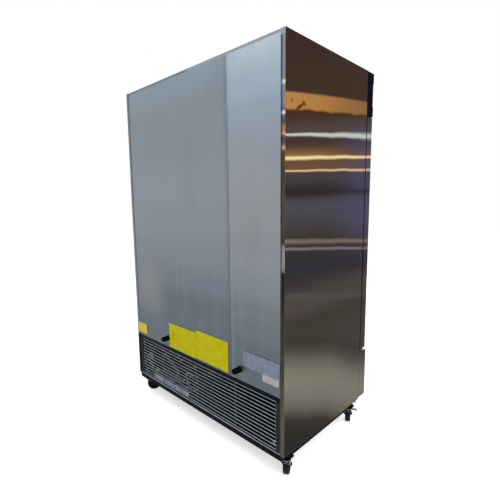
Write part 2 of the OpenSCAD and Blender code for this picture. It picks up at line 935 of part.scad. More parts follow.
// Foamed core of a door with its raised inner panel
module door_core() {
    frame = gasket_inset + gasket_w + 2;
    frame_out = hinge_side + gasket_w + 2;
    sink = inner_panel_h / 2;
    rim = 46;
    color("#dfe2e4") difference() {
        union() {
            door_form(skin_t);
            slab_y(door_back_y, door_back_y + inner_panel_h) soft_rect(
                [door_x0 + frame, door_z0 + frame], [door_x1 - frame_out, door_z1 - frame], 12
            );
        }
        slab_y(door_back_y + sink, door_back_y + inner_panel_h + over) soft_rect(
            [door_x0 + frame + rim, door_z0 + frame + rim],
            [door_x1 - frame_out - rim, door_z1 - frame - rim], 12
        );
        handle_recess(0);
        rod_y(grip_x, lock_z, door_front_y - over, door_front_y + 36, lock_r + run_gap);
        pin_holes(pin_r + run_gap, pin_bore_h);
    }
}

// Magnetic gasket: a flat base with a narrower bulb
module gasket() {
    a = [door_x0 + gasket_inset, door_z0 + gasket_inset];
    b = [door_x1 - hinge_side, door_z1 - gasket_inset];
    base_t = 3;
    neck = 2;
    step = [neck, neck];
    color("#3a3c40") {
        ring_xz(a, b, gasket_w, door_back_y, door_back_y + base_t);
        ring_xz(a + step, b - step, gasket_w - 2 * neck, door_back_y + base_t - 0.5, face_y - gasket_clear);
    }
}

// Recessed grip: a moulded cup with a rim and an overhanging lip
module handle() {
    wall = 2;
    rim = 4;
    rim_t = 1.5;
    lip_w = 14;
    half_x = handle_w / 2;
    half_z = handle_h / 2;
    front = door_front_y - rim_t;
    color(black) {
        difference() {
            union() {
                slab_y(front, door_front_y) soft_rect(
                    [grip_x - half_x - rim, handle_z - half_z - rim],
                    [grip_x + half_x + rim, handle_z + half_z + rim], 10 + rim
                );
                slab_y(door_front_y, door_front_y + handle_d) soft_rect(
                    [grip_x - half_x, handle_z - half_z], [grip_x + half_x, handle_z + half_z], 10
                );
            }
            slab_y(front - over, door_front_y + handle_d - wall) soft_rect(
                [grip_x - half_x + wall, handle_z - half_z + wall],
                [grip_x + half_x - wall, handle_z + half_z - wall], 10 - wall
            );
        }
        block(
            [grip_x - half_x + wall - 0.5, front, handle_z - half_z + 8],
            [grip_x - half_x + lip_w, front + 3, handle_z + half_z - 8]
        );
        rod_along_z(grip_x - half_x + lip_w, front + 3, handle_z - half_z + 8, handle_z + half_z - 8, 3);
    }
}

// An upright rod
module rod_along_z(x, y, z0, z1, r) {
    translate([x, y, z0]) cylinder(r = r, h = z1 - z0);
}

// Lock cylinder with its key slot
module lock() {
    slot_w = 2;
    slot_h = 9;
    color(zinc) difference() {
        rod_y(grip_x, lock_z, door_front_y - 2, door_front_y + 34, lock_r);
        block(
            [grip_x - slot_w / 2, door_front_y - 2 - over, lock_z - slot_h / 2],
            [grip_x + slot_w / 2, door_front_y + 12, lock_z + slot_h / 2]
        );
    }
}

module right_door_skin() {
    door_skin();
}

module left_door_skin() {
    left_hand() door_skin();
}

module right_door_core() {
    door_core();
}

module left_door_core() {
    left_hand() door_core();
}

module right_gasket() {
    gasket();
}

module left_gasket() {
    left_hand() gasket();
}

module right_handle() {
    handle();
}

module left_handle() {
    left_hand() handle();
}

module right_lock() {
    lock();
}

module left_lock() {
    left_hand() lock();
}

// Hinge bracket with its leaf on the cabinet, its arm and its pin
module hinge(arm_z, leaf_z, pin_z0, pin_z1) {
    leaf_t = 4;
    arm_r = 13;
    leaf_x0 = pin_x - 26;
    leaf_x1 = pin_x + 16;
    block([leaf_x0, face_y - leaf_t, leaf_z[0]], [leaf_x1, face_y, leaf_z[1]]);
    translate([0, 0, arm_z]) linear_extrude(bracket_t) {
        translate([pin_x - arm_r, pin_y]) square([2 * arm_r, face_y - leaf_t / 2 - pin_y]);
        translate([pin_x, pin_y]) circle(arm_r);
    }
    rod_along_z(pin_x, pin_y, pin_z0, pin_z1, pin_r);
}

module hinge_brackets() {
    low_z = box_z + 9;
    high_z = header_z0 + header_t + 4;
    seat = 0.4;
    pin_in = pin_bore_h - 3;
    color(zinc) both_hands() {
        hinge(low_z, [box_z + 4, door_z0 + 8], low_z, door_z0 + pin_in);
        rod_along_z(pin_x, pin_y, low_z + bracket_t, door_z0 - seat, pin_r + 4);
        hinge(high_z, [high_z, high_z + 34], door_z1 - pin_in, high_z + bracket_t);
        rod_along_z(pin_x, pin_y, door_z1 + seat, high_z, pin_r + 4);
    }
}

// Slotted channel with the clips that carry the shelves; its back lies in the XZ plane
module standard() {
    half = standard_w / 2;
    length = standard_z1 - standard_z0;
    slots = floor((length - 20) / slot_pitch);
    difference() {
        translate([0, 0, standard_z0]) linear_extrude(length) difference() {
            translate([-half, -standard_d]) square([standard_w, standard_d]);
            translate([-half + standard_t, -standard_d + standard_t])
                square([standard_w - 2 * standard_t, standard_d]);
        }
        for (k = [0:slots]) block(
            [-1.5, -standard_d - over, standard_z0 + 10 + k * slot_pitch],
            [1.5, -standard_d + standard_t + over, standard_z0 + 22 + k * slot_pitch]
        );
    }
    for (z = shelf_z) {
        seat_z = z - shelf_frame_r;
        block([-5, -standard_d - 1.5, seat_z - 16], [5, -standard_d, seat_z]);
        block([-5, -standard_d - tongue_d, seat_z - tongue_t], [5, -standard_d, seat_z]);
    }
}

module shelf_standards() {
    color(zinc) both_hands() {
        for (y = [side_standard_y0, side_standard_y1])
            translate([liner_x, y, 0]) rotate(-90) standard();
        translate([centre_standard_x, liner_y, 0]) standard();
        translate([centre_standard_x, bulkhead_y, 0]) rotate(180) standard();
    }
}

// Welded wire shelf: frame, two stiffeners and thin wires from front to back
module shelf(z) {
    x0 = shelf_x0 + shelf_frame_r;
    x1 = shelf_x1 - shelf_frame_r;
    y0 = shelf_y0 + shelf_frame_r;
    y1 = shelf_y1 - shelf_frame_r;
    wire_z = z + shelf_frame_r + shelf_wire_r - 0.8;
    color("#d6d9db") {
        for (y = [y0, y1]) rod_x(y, z, x0, x1, shelf_frame_r);
        for (x = [x0, x1]) rod_y(x, z, y0, y1, shelf_frame_r);
        for (x = [x0, x1], y = [y0, y1]) translate([x, y, z]) sphere(shelf_frame_r);
        for (k = [1:2]) rod_x(y0 + k * (y1 - y0) / 3, z, x0, x1, shelf_frame_r - 0.6);
        for (k = [1:shelf_wires]) rod_y(
            x0 + k * (x1 - x0) / (shelf_wires + 1), wire_z, y0 - 1, y1 + 1, shelf_wire_r
        );
    }
}

module right_shelf_low() {
    shelf(shelf_z[0]);
}

module right_shelf_middle() {
    shelf(shelf_z[1]);
}

module right_shelf_high() {
    shelf(shelf_z[2]);
}

module left_shelf_low() {
    left_hand() shelf(shelf_z[0]);
}

module left_shelf_middle() {
    left_hand() shelf(shelf_z[1]);
}

module left_shelf_high() {
    left_hand() shelf(shelf_z[2]);
}

// Rings of a round guard in the XZ plane, on two crossed bars
module fan_guard(r) {
    ring_count = 3;
    ring_w = 3;
    guard_t = 2;
    bar_y = -guard_t / 2;
    bar_r = r - ring_w / 4;
    for (ring_r = [for (k = [1:ring_count]) k * r / ring_count])
        translate([0, guard_t / 2, 0]) rotate([90, 0, 0]) difference() {
            cylinder(r = ring_r + ring_w / 2, h = guard_t);
            translate([0, 0, -over]) cylinder(r = ring_r - ring_w / 2, h = guard_t + 2 * over);
        }
    block([-ring_w / 2, bar_y, -bar_r], [ring_w / 2, guard_t / 2, bar_r]);
    block([-bar_r, bar_y, -ring_w / 2], [bar_r, guard_t / 2, ring_w / 2]);
}

// Housing under the roof: folded sheet with two fan holes, guards, straps and motors
module evaporator_housing() {
    corner_r = 16;
    hole_r = evap_fan_r + 5;
    motor_r = 26;
    motor_y0 = evap_fan_y + 14;
    motor_d = 44;
    shaft_y0 = evap_y0 + 10;
    strap_half = 9;
    strap_t = 4;
    slot_l = 40;
    slot_w = 30;
    slot_back = 90;
    slot_gap = 14;
    slot_side = floor((evap_half_w - slot_l) / (slot_l + slot_gap));
    strap_y = motor_y0 + motor_d - strap_t / 2;
    color("#c3c8cc") {
        difference() {
            slab_x(-evap_half_w, evap_half_w) difference() {
                soft_rect([evap_y0, evap_z0], [evap_y1 + corner_r, evap_z1 + corner_r], corner_r);
                translate([evap_y1, evap_z0]) square([2 * corner_r, evap_h + 2 * corner_r]);
                translate([evap_y0, evap_z1]) square([evap_d + corner_r, 2 * corner_r]);
            }
            slab_x(-evap_half_w + evap_t, evap_half_w - evap_t) soft_rect(
                [evap_y0 + evap_t, evap_z0 + evap_t],
                [evap_y1 - evap_t, evap_z1 + corner_r], corner_r - evap_t
            );
            for (x = [-evap_fan_x, evap_fan_x])
                rod_y(x, evap_fan_z, evap_y0 - over, evap_y0 + evap_t + over, hole_r);
            for (x = [for (k = [-slot_side:slot_side]) k * (slot_l + slot_gap)]) block(
                [x - slot_l / 2, evap_y1 - slot_back - slot_w, evap_z0 - over],
                [x + slot_l / 2, evap_y1 - slot_back, evap_z0 + evap_t + over]
            );
        }
        for (x = [-evap_fan_x, evap_fan_x]) {
            translate([x, evap_y0, evap_fan_z]) fan_guard(hole_r);
            rod_y(x, evap_fan_z, motor_y0, motor_y0 + motor_d, motor_r);
            rod_y(x, evap_fan_z, shaft_y0, motor_y0 + over, evap_shaft_r);
            block(
                [x - strap_half, strap_y, evap_z0 + evap_t / 2],
                [x + strap_half, strap_y + strap_t, evap_z1]
            );
        }
    }
}

// Finned block with cut gaps between groups of fins
module finned_block(a, b, count, gap) {
    header_rim = 6;
    cut_share = 0.4;
    pitch = (b.x - a.x) / count;
    cut_y = a.y + (b.y - a.y) * cut_share;
    difference() {
        block(a, b);
        for (x = [for (k = [1:count - 1]) a.x + k * pitch]) block(
            [x - gap / 2, a.y - over, a.z + header_rim],
            [x + gap / 2, cut_y, b.z - header_rim]
        );
    }
}

module evaporator_coil() {
    fin_groups = 26;
    fin_gap = 12;
    tube_rows = 4;
    tube_r = 5;
    tube_out = 22;
    foot_h = 14;
    foot_half = 10;
    x1 = evap_half_w - 90;
    y0 = evap_y1 - 190;
    y1 = evap_y1 - 40;
    z0 = evap_z0 + evap_t + foot_h;
    z1 = evap_z1 - foot_h;
    pitch = (z1 - z0) / tube_rows;
    foot_x = x1 - 8 * foot_half;
    color("#c7cccf") {
        finned_block([-x1, y0, z0], [x1, y1, z1], fin_groups, fin_gap);
        for (k = [0:tube_rows - 1], y = [y0 + (y1 - y0) / 4, y1 - (y1 - y0) / 4]) both_hands()
            rod_x(y, z0 + (k + 0.5) * pitch, x1 - over, x1 + tube_out, tube_r);
        both_hands() block(
            [foot_x - foot_half, y0 + 3 * foot_half, evap_z0 + evap_t],
            [foot_x + foot_half, y1 - 3 * foot_half, z0 + over]
        );
    }
}

// Fan with slanted blades turning about Y
module fan(x, y, z, r, hub_r, hub_d, shaft_r) {
    blades = 5;
    blade_tilt = 38;
    blade_t = 1.6;
    blade_w = 0.56 * r;
    blade_root = hub_r - 3;
    translate([x, y, z]) difference() {
        union() {
            rod_y(0, 0, -hub_d / 2, hub_d / 2, hub_r);
            intersection() {
                rod_y(0, 0, -hub_d, hub_d, r);
                for (k = [0:blades - 1]) rotate([0, k * 360 / blades, 0])
                    translate([blade_root, 0, 0]) rotate([blade_tilt, 0, 0])
                        translate([0, -blade_t / 2, -blade_w / 2]) cube([r, blade_t, blade_w]);
            }
        }
        rod_y(0, 0, -hub_d, hub_d, shaft_r + run_gap);
    }
}

module evaporator_fan(x) {
    color(black) fan(x, evap_fan_y, evap_fan_z, evap_fan_r, 16, 20, evap_shaft_r);
}

module left_evaporator_fan() {
    evaporator_fan(-evap_fan_x);
}

module right_evaporator_fan() {
    evaporator_fan(evap_fan_x);
}

// Drain line from the evaporator to the condensate pan, and the pan
module drain_line() {
    turn_z = box_z - 60;
    end_x = pan_x0 + 40;
    wall = 1.5;
    color("#c9d3da") {
        tube([
            [0, drain_y, evap_z0 - 0.2], [0, drain_y, turn_z],
            [end_x, drain_y, turn_z - 10], [end_x, drain_y, tray_z + pan_h + 12]
        ], drain_r);
        difference() {
            translate([0, 0, tray_z]) linear_extrude(pan_h) soft_rect([pan_x0, pan_y0], [pan_x1, pan_y1], 18);
            translate([0, 0, tray_z + wall]) linear_extrude(pan_h)
                soft_rect([pan_x0 + wall, pan_y0 + wall], [pan_x1 - wall, pan_y1 - wall], 18 - wall);
        }
    }
}

module condenser_tray() {
    color(galvanised) {
        block([tray_x0, tray_y0, panel_z], [tray_x1, tray_y1, tray_z]);
        for (x = [tray_x0, tray_x1 - tray_t])
            block([x, tray_y0, tray_z - tray_t / 2], [x + tray_t, tray_y1, tray_z + tray_edge_h]);
    }
}

// Outline of the compressor shell with its round ends and weld seam
module compressor_outline() {
    end_r = 34;
    seam_r = comp_r + 4;
    translate([0, end_r]) square([comp_r, comp_h - 2 * end_r]);
    square([comp_r - end_r, comp_h]);
    for (z = [end_r, comp_h - end_r]) translate([comp_r - end_r, z]) circle(end_r);
    translate([0, comp_h * 0.56]) square([seam_r, 4]);
}

module compressor() {
    foot_z = tray_z + 12;
    foot_t = 4;
    foot_half = 82;
    foot_hole = 68;
    bolt_r = 6;
    grommet_r = 11;
    color(black) {
        translate([comp_x, comp_y, comp_z]) rotate_extrude() intersection() {
            compressor_outline();
            square([2 * comp_r, comp_h]);
        }
        translate([comp_x, comp_y, foot_z]) linear_extrude(foot_t + over)
            soft_rect([-foot_half, -foot_half], [foot_half, foot_half], 14);
        for (sx = [-1, 1], sy = [-1, 1])
            translate([comp_x + sx * foot_hole, comp_y + sy * foot_hole, tray_z]) {
                cylinder(r = grommet_r, h = foot_z - tray_z + over);
                cylinder(r = bolt_r, h = foot_z - tray_z + 2 * foot_t + 3);
            }
        block(
            [terminal_x, comp_y - terminal_w / 2, terminal_z],
            [comp_x - comp_r / 2, comp_y + terminal_w / 2, terminal_z + terminal_h]
        );
        rod_y(comp_x, discharge_z, comp_y - comp_r - comp_stub, comp_y, line_r + 1);
        rod_x(comp_y, suction_z, comp_x, comp_x + comp_r + comp_stub, suction_r + 1);
        rod_y(process_x, process_z, comp_y, comp_y + comp_r + comp_stub, line_r + 1);
    }
}

// Condenser: finned block, side plates, shroud with a round mouth
module condenser_coil() {
    fin_groups = 24;
    fin_gap = 9;
    side_t = 3;
    shroud_t = 2;
    mouth_gap = 8;
    x0 = cond_x - cond_w / 2;
    x1 = cond_x + cond_w / 2;
    shroud_y = cond_y1 + shroud_d;
    top = cond_z0 + cond_h;
    color("#8d9296") {
        finned_block([x0, cond_y0, cond_z0], [x1, cond_y1, top], fin_groups, fin_gap);
        for (x = [x0 - side_t, x1]) block([x, cond_y0, tray_z], [x + side_t, shroud_y, top]);
        difference() {
            block([x0 - over, cond_y1 - over, cond_z0], [x1 + over, shroud_y, top]);
            block(
                [x0 + shroud_t, cond_y1 - 2 * over, cond_z0 + shroud_t],
                [x1 - shroud_t, shroud_y - shroud_t, top - shroud_t]
            );
            rod_y(cond_x, fan_z, shroud_y - 2 * shroud_t, shroud_y + over, fan_r + mouth_gap);
        }
    }
}

// Motor on its stand, with the shaft towards the condenser
module condenser_fan_motor() {
    boss_r = 14;
    boss_d = 6;
    leg_x = 70;
    leg_half = 12;
    leg_t = 3;
    foot_d = 30;
    leg_y = motor_y + fan_motor_d;
    color("#3c4044") {
        rod_y(cond_x, fan_z, motor_y, leg_y, fan_motor_r);
        rod_y(cond_x, fan_z, motor_y - boss_d, motor_y + over, boss_r);
        rod_y(cond_x, fan_z, fan_y - 10, motor_y + over, fan_shaft_r);
        for (x = [cond_x - leg_x, cond_x + leg_x]) {
            block([x - leg_half, leg_y, tray_z], [x + leg_half, leg_y + leg_t, fan_z]);
            block([x - leg_half, leg_y, tray_z], [x + leg_half, leg_y + foot_d, tray_z + leg_t]);
        }
        block(
            [cond_x - leg_x - leg_half, leg_y - over, fan_z - leg_half],
            [cond_x + leg_x + leg_half, leg_y + leg_t, fan_z + leg_half]
        );
    }
}

module condenser_fan() {
    color("#2a2d30") fan(cond_x, fan_y, fan_z, fan_r, 20, 26, fan_shaft_r);
}

// Discharge, liquid and suction lines with the filter drier and the capped service tube
module refrigerant_lines() {
    coil_end = cond_x - cond_w / 2 - 3;
    side_x = coil_end - 23;
    coil_y = cond_y1 - 20;
    out_y = comp_y - comp_r - comp_stub;
    over_z = discharge_z + 54;
    drier_z = tray_z + 62;
    drier_r = 12;
    drier_y = [64, 144];
    liquid_y = 180;
    liquid_x = 20;
    return_x = comp_x + comp_r + comp_stub + 24;
    return_y = 210;
    return_z = box_z - 44;
    return_end = 40;
    process_y = pan_y1 - 28;
    cap_r = 9;
    cap_l = 16;
    color("#b5713c") {
        tube([
            [comp_x, out_y, discharge_z], [comp_x, out_y - 18, discharge_z],
            [comp_x, out_y - 18, over_z], [side_x, out_y - 18, over_z],
            [side_x, coil_y, over_z], [coil_end, coil_y, over_z]
        ], line_r);
        tube([
            [coil_end, coil_y, drier_z], [side_x, coil_y, drier_z], [side_x, liquid_y, drier_z],
            [side_x, liquid_y, box_z - 30], [liquid_x, liquid_y, box_z - 30], [liquid_x, liquid_y, box_z]
        ], line_r);
        rod_y(side_x, drier_z, drier_y[0], drier_y[1], drier_r);
        tube([
            [comp_x + comp_r + comp_stub, comp_y, suction_z], [return_x, comp_y, suction_z],
            [return_x, comp_y, return_z], [return_x, return_y, return_z],
            [return_end, return_y, return_z], [return_end, return_y, box_z]
        ], suction_r);
        rod_y(process_x, process_z, comp_y + comp_r + comp_stub, process_y, line_r);
        rod_y(process_x, process_z, process_y - over, process_y + cap_l, cap_r);
    }
}

// Box for the relays with the wiring loom along the back and the compressor's, earth and fan leads
module electrical_box() {
    lid_h = 14;
    lid_lap = 2;
    corner_r = 5;
    lid_z1 = ebox_z1 + lid_lap;
    loom_x0 = tray_x0 - loom_r - 4;
    loom_x1 = ebox_x0 + 20;
    loom_y = ebox_y1 - loom_r - 1;
    loom_z = ebox_z1 + 34;
    earth_x = ebox_x0 - 165;
    earth_y = pan_y0 - 16;
    lead_x = terminal_x - 20;
    lead_y = ebox_y0 + 25;
    lead_z = ebox_z1 - 50;
    terminal_lead_z = terminal_z + terminal_h / 2;
    fan_lead_x = ebox_x1 - 20;
    fan_lead_y = motor_y + fan_motor_d / 2;
    color(black) {
        translate([0, 0, ebox_z0]) linear_extrude(ebox_z1 - ebox_z0)
            soft_rect([ebox_x0, ebox_y0], [ebox_x1, ebox_y1], corner_r);
        translate([0, 0, lid_z1 - lid_h]) linear_extrude(lid_h) soft_rect(
            [ebox_x0 - lid_lap, ebox_y0 - lid_lap],
            [ebox_x1 + lid_lap, ebox_y1 + lid_lap], corner_r + lid_lap
        );
        tube([
            [loom_x1, loom_y, ebox_z1], [loom_x1, loom_y, loom_z], [loom_x0 + 10, loom_y, loom_z],
            [loom_x0 - 25, loom_y, loom_z - 54], [loom_x0, loom_y, loom_z - 168], [loom_x0, loom_y, panel_z]
        ], loom_r);
        tube([
            [ebox_x0 + over, lead_y, lead_z], [lead_x, lead_y, lead_z], [lead_x, comp_y, lead_z],
            [lead_x, comp_y, terminal_lead_z], [terminal_x, comp_y, terminal_lead_z]
        ], lead_r);
        tube([
            [ebox_x0 + over, earth_y, ebox_z0 + 138], [earth_x, earth_y, ebox_z0 + 68],
            [earth_x, earth_y, tray_z]
        ], lead_r);
        tube([
            [fan_lead_x, ebox_y0 + over, fan_z], [fan_lead_x, fan_lead_y, fan_z],
            [cond_x + fan_motor_r, fan_lead_y, fan_z]
        ], lead_r);
    }
}

// Places of the four casters: position and heading of the wheel
rear_left_at = [-swivel_x, swivel_y1];
rear_right_at = [swivel_x, swivel_y1];
front_left_at = [-swivel_x, swivel_y0];
front_right_at = [swivel_x, swivel_y0];

module caster_plates() {
    half = plate_w / 2;
    hole_in = 8;
    top = caster_h - plate_t;
    color(zinc) for (p = [rear_left_at, rear_right_at, front_left_at, front_right_at])
        translate([p.x, p.y, 0]) {
            difference() {
                translate([0, 0, top]) linear_extrude(plate_t) soft_rect([-half, -half], [half, half], 7);
                for (sx = [-1, 1], sy = [-1, 1])
                    translate([sx * (half - hole_in), sy * (half - hole_in), top - over])
                        cylinder(r = 4, h = plate_t + 2 * over);
            }
            translate([0, 0, top - raceway_h]) cylinder(r1 = crown_r - 4, r2 = crown_r, h = raceway_h);
            translate([0, 0, crown_z0 - king_nut_h]) cylinder(r = king_r, h = top - crown_z0 + king_nut_h);
            translate([0, 0, crown_z0 - king_nut_h - crown_gap]) cylinder(r = king_r + 3, h = king_nut_h);
        }
}

// Side view of a fork leg: wide under the crown, round at the axle
module leg_outline() {
    top = crown_z0 + crown_t / 2;
    eye_r = 12;
    lean = 0.5 * eye_r;
    translate([trail, wheel_r]) circle(eye_r);
    polygon([
        [-crown_r + 4, top], [crown_r - 3, top], [trail + eye_r - 1, wheel_r + lean],
        [trail - lean, wheel_r - eye_r + 1], [-crown_r + 4, top - 14]
    ]);
}

// Fork with its crown, skirt, legs and axle; the wheel lies towards +X, a brake on the -Y side
module fork(brake) {
    brake_room = brake ? lever_t + 2 * lever_gap : 0;
    skirt_x = -crown_r + 4;
    skirt_h = 13;
    nut_r = axle_r + 4;
    nut_sides = 6;
    low_end = -fork_out - brake_room;
    color(zinc) {
        difference() {
            union() {
                translate([0, 0, crown_z0]) cylinder(r = crown_r, h = crown_t);
                for (y = [-fork_out, fork_in]) slab_y(y, y + fork_t) leg_outline();
                block([skirt_x, -fork_out, crown_z0 - skirt_h], [skirt_x + fork_t, fork_out, crown_z0 + 2]);
            }
            translate([0, 0, crown_z0 - over]) cylinder(r = king_r + run_gap, h = crown_t + 2 * over);
        }
        rod_y(trail, wheel_r, low_end - 3 * washer_t, fork_out + 3 * washer_t, axle_r);
        rod_y(trail, wheel_r, low_end - 2 * washer_t, low_end, nut_r, $fn = nut_sides);
        rod_y(trail, wheel_r, fork_out, fork_out + 2 * washer_t, nut_r, $fn = nut_sides);
    }
}

// Outline of a wheel: hub, web and rounded tyre
module wheel_outline() {
    half = tyre_w / 2;
    round_r = 6;
    tyre_t = 12;
    rim_t = 4;
    web_half = 5;
    rim_r = wheel_r - tyre_t;
    difference() {
        union() {
            translate([rim_r, -half + round_r]) square([tyre_t, tyre_w - 2 * round_r]);
            translate([rim_r, -half]) square([tyre_t - round_r, tyre_w]);
            for (s = [-1, 1]) translate([wheel_r - round_r, s * (half - round_r)]) circle(round_r);
            translate([0, -hub_w / 2]) square([axle_r + 8, hub_w]);
            translate([0, -web_half]) square([rim_r + over, 2 * web_half]);
            translate([rim_r - rim_t, -half + 2]) square([2 * rim_t, tyre_w - 4]);
        }
        translate([-over, -tyre_w]) square([axle_r + run_gap + over, 2 * tyre_w]);
    }
}

module wheel() {
    color("#26282b") translate([trail, 0, wheel_r]) rotate([90, 0, 0]) rotate_extrude() wheel_outline();
}

// Brake lever beside the fork: eye on the axle, arm and a foot tab that stands out
module brake_lever() {
    eye_r = 13;
    arm_w = 18;
    tab_lip_r = 4;
    tab_z = crown_z0 - 22;
    y1 = -fork_out - lever_gap;
    y0 = y1 - lever_t;
    arm_x = trail - arm_w / 2;
    color("#5a655f") difference() {
        union() {
            rod_y(trail, wheel_r, y0, y1, eye_r);
            block([arm_x, y0, wheel_r], [arm_x + arm_w, y1, tab_z]);
            block([arm_x, y0 - brake_tab, tab_z - lever_t], [arm_x + arm_w, y0 + over, tab_z]);
            rod_x(y0 - brake_tab, tab_z - tab_lip_r, arm_x, arm_x + arm_w, tab_lip_r);
        }
        rod_y(trail, wheel_r, y0 - over, y1 + over, axle_r + run_gap);
    }
}

// Puts a caster piece at its place and heading
module at_caster(p, yaw) {
    translate([p.x, p.y, 0]) rotate(yaw) children();
}

module rear_left_fork() {
    at_caster(rear_left_at, yaw_rear_left) fork(false);
}

module rear_right_fork() {
    at_caster(rear_right_at, yaw_rear_right) fork(false);
}

module front_left_fork() {
    at_caster(front_left_at, yaw_front_left) fork(true);
}

module front_right_fork() {
    at_caster(front_right_at, yaw_front_right) fork(true);
}

module rear_left_wheel() {
    at_caster(rear_left_at, yaw_rear_left) wheel();
}

module rear_right_wheel() {
    at_caster(rear_right_at, yaw_rear_right) wheel();
}

module front_left_wheel() {
    at_caster(front_left_at, yaw_front_left) wheel();
}

module front_right_wheel() {
    at_caster(front_right_at, yaw_front_right) wheel();
}

module left_brake_lever() {
    at_caster(front_left_at, yaw_front_left) brake_lever();
}

module right_brake_lever() {
    at_caster(front_right_at, yaw_front_right) brake_lever();
}

left_side_panel();
right_side_panel();
top_panel();
wide_back_panel();
narrow_back_panel();
cabinet_foam();
inner_liner();
face_frame();
breaker_frame();
compartment_frame();
base_frame();
header_cover();
display_module();
button_up();
button_down();
button_set();
front_panel();
rear_grille();
rear_bumpers();
left_door_skin();
left_door_core();
left_gasket();
left_handle();
left_lock();
right_door_skin();
right_door_core();
right_gasket();
right_handle();
right_lock();
hinge_brackets();
shelf_standards();
left_shelf_low();
left_shelf_middle();
left_shelf_high();
right_shelf_low();
right_shelf_middle();
right_shelf_high();
evaporator_housing();
evaporator_coil();
left_evaporator_fan();
right_evaporator_fan();
drain_line();
condenser_tray();
compressor();
condenser_coil();
condenser_fan_motor();
condenser_fan();
refrigerant_lines();
electrical_box();
caster_plates();
rear_left_fork();
rear_right_fork();
front_left_fork();
front_right_fork();
rear_left_wheel();
rear_right_wheel();
front_left_wheel();
front_right_wheel();
left_brake_lever();
right_brake_lever();
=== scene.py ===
import json
import math
import random

import bmesh
import bpy
from mathutils import Matrix, Vector


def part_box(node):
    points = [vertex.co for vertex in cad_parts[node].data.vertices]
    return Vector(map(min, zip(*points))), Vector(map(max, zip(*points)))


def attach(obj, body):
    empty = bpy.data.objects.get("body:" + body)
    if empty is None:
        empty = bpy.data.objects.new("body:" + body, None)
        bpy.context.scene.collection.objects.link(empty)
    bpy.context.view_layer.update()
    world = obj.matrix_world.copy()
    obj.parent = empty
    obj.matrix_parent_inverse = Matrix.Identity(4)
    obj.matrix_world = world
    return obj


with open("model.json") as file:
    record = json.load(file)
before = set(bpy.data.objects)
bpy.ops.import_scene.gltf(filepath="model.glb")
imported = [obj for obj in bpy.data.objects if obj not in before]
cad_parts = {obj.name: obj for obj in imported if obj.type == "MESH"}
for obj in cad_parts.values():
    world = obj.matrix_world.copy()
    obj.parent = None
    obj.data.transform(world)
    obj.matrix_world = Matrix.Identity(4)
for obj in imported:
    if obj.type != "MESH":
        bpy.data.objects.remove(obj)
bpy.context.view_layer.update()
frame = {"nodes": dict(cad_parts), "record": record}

NODES = frame["nodes"]
JOINTS = {row["name"]: row for row in frame["record"]["behaviour"]["joints"]}
SLOTS = {row["node"]: row["material_slot"] for row in frame["record"]["subparts"]}
COLLECTION = bpy.context.scene.collection
FULL_TURN = 2 * math.pi
MM = 0.001

# Places on the object, in metres
BACK_Y = 0.400
FACE_Y = -0.357
SKIRT_Z = 0.454
TOP_Z = 2.140
SEAM_X = -0.312
CORNERS = ("rear_left", "rear_right", "front_left", "front_right")

# Where the photograph was taken from, in metres, and how it was aimed, in degrees
EYE = (-1.7181, 1.6944, 1.4045)
VIEW_YAW, VIEW_PITCH, VIEW_ROLL = 136.058, -7.473, -0.512
LENS_MM = 26.23

# Lamps: name, place, diameter in metres and watts, all aimed at the middle of the object
LAMPS = (
    ("lamp_high", (-2.6, 2.4, 4.6), 3.2, 150),
    ("lamp_left", (-4.6, -1.2, 3.0), 3.0, 90),
    ("lamp_front", (2.4, -4.6, 3.6), 3.4, 150),
)
LAMP_AIM = (0, 0, 1.0)
# Strength of the soft light all round and of the floor's own glow, and the floor's reach in metres
WORLD_LIGHT = 0.62
FLOOR_GLOW = 0.56
FLOOR_REACH = 20


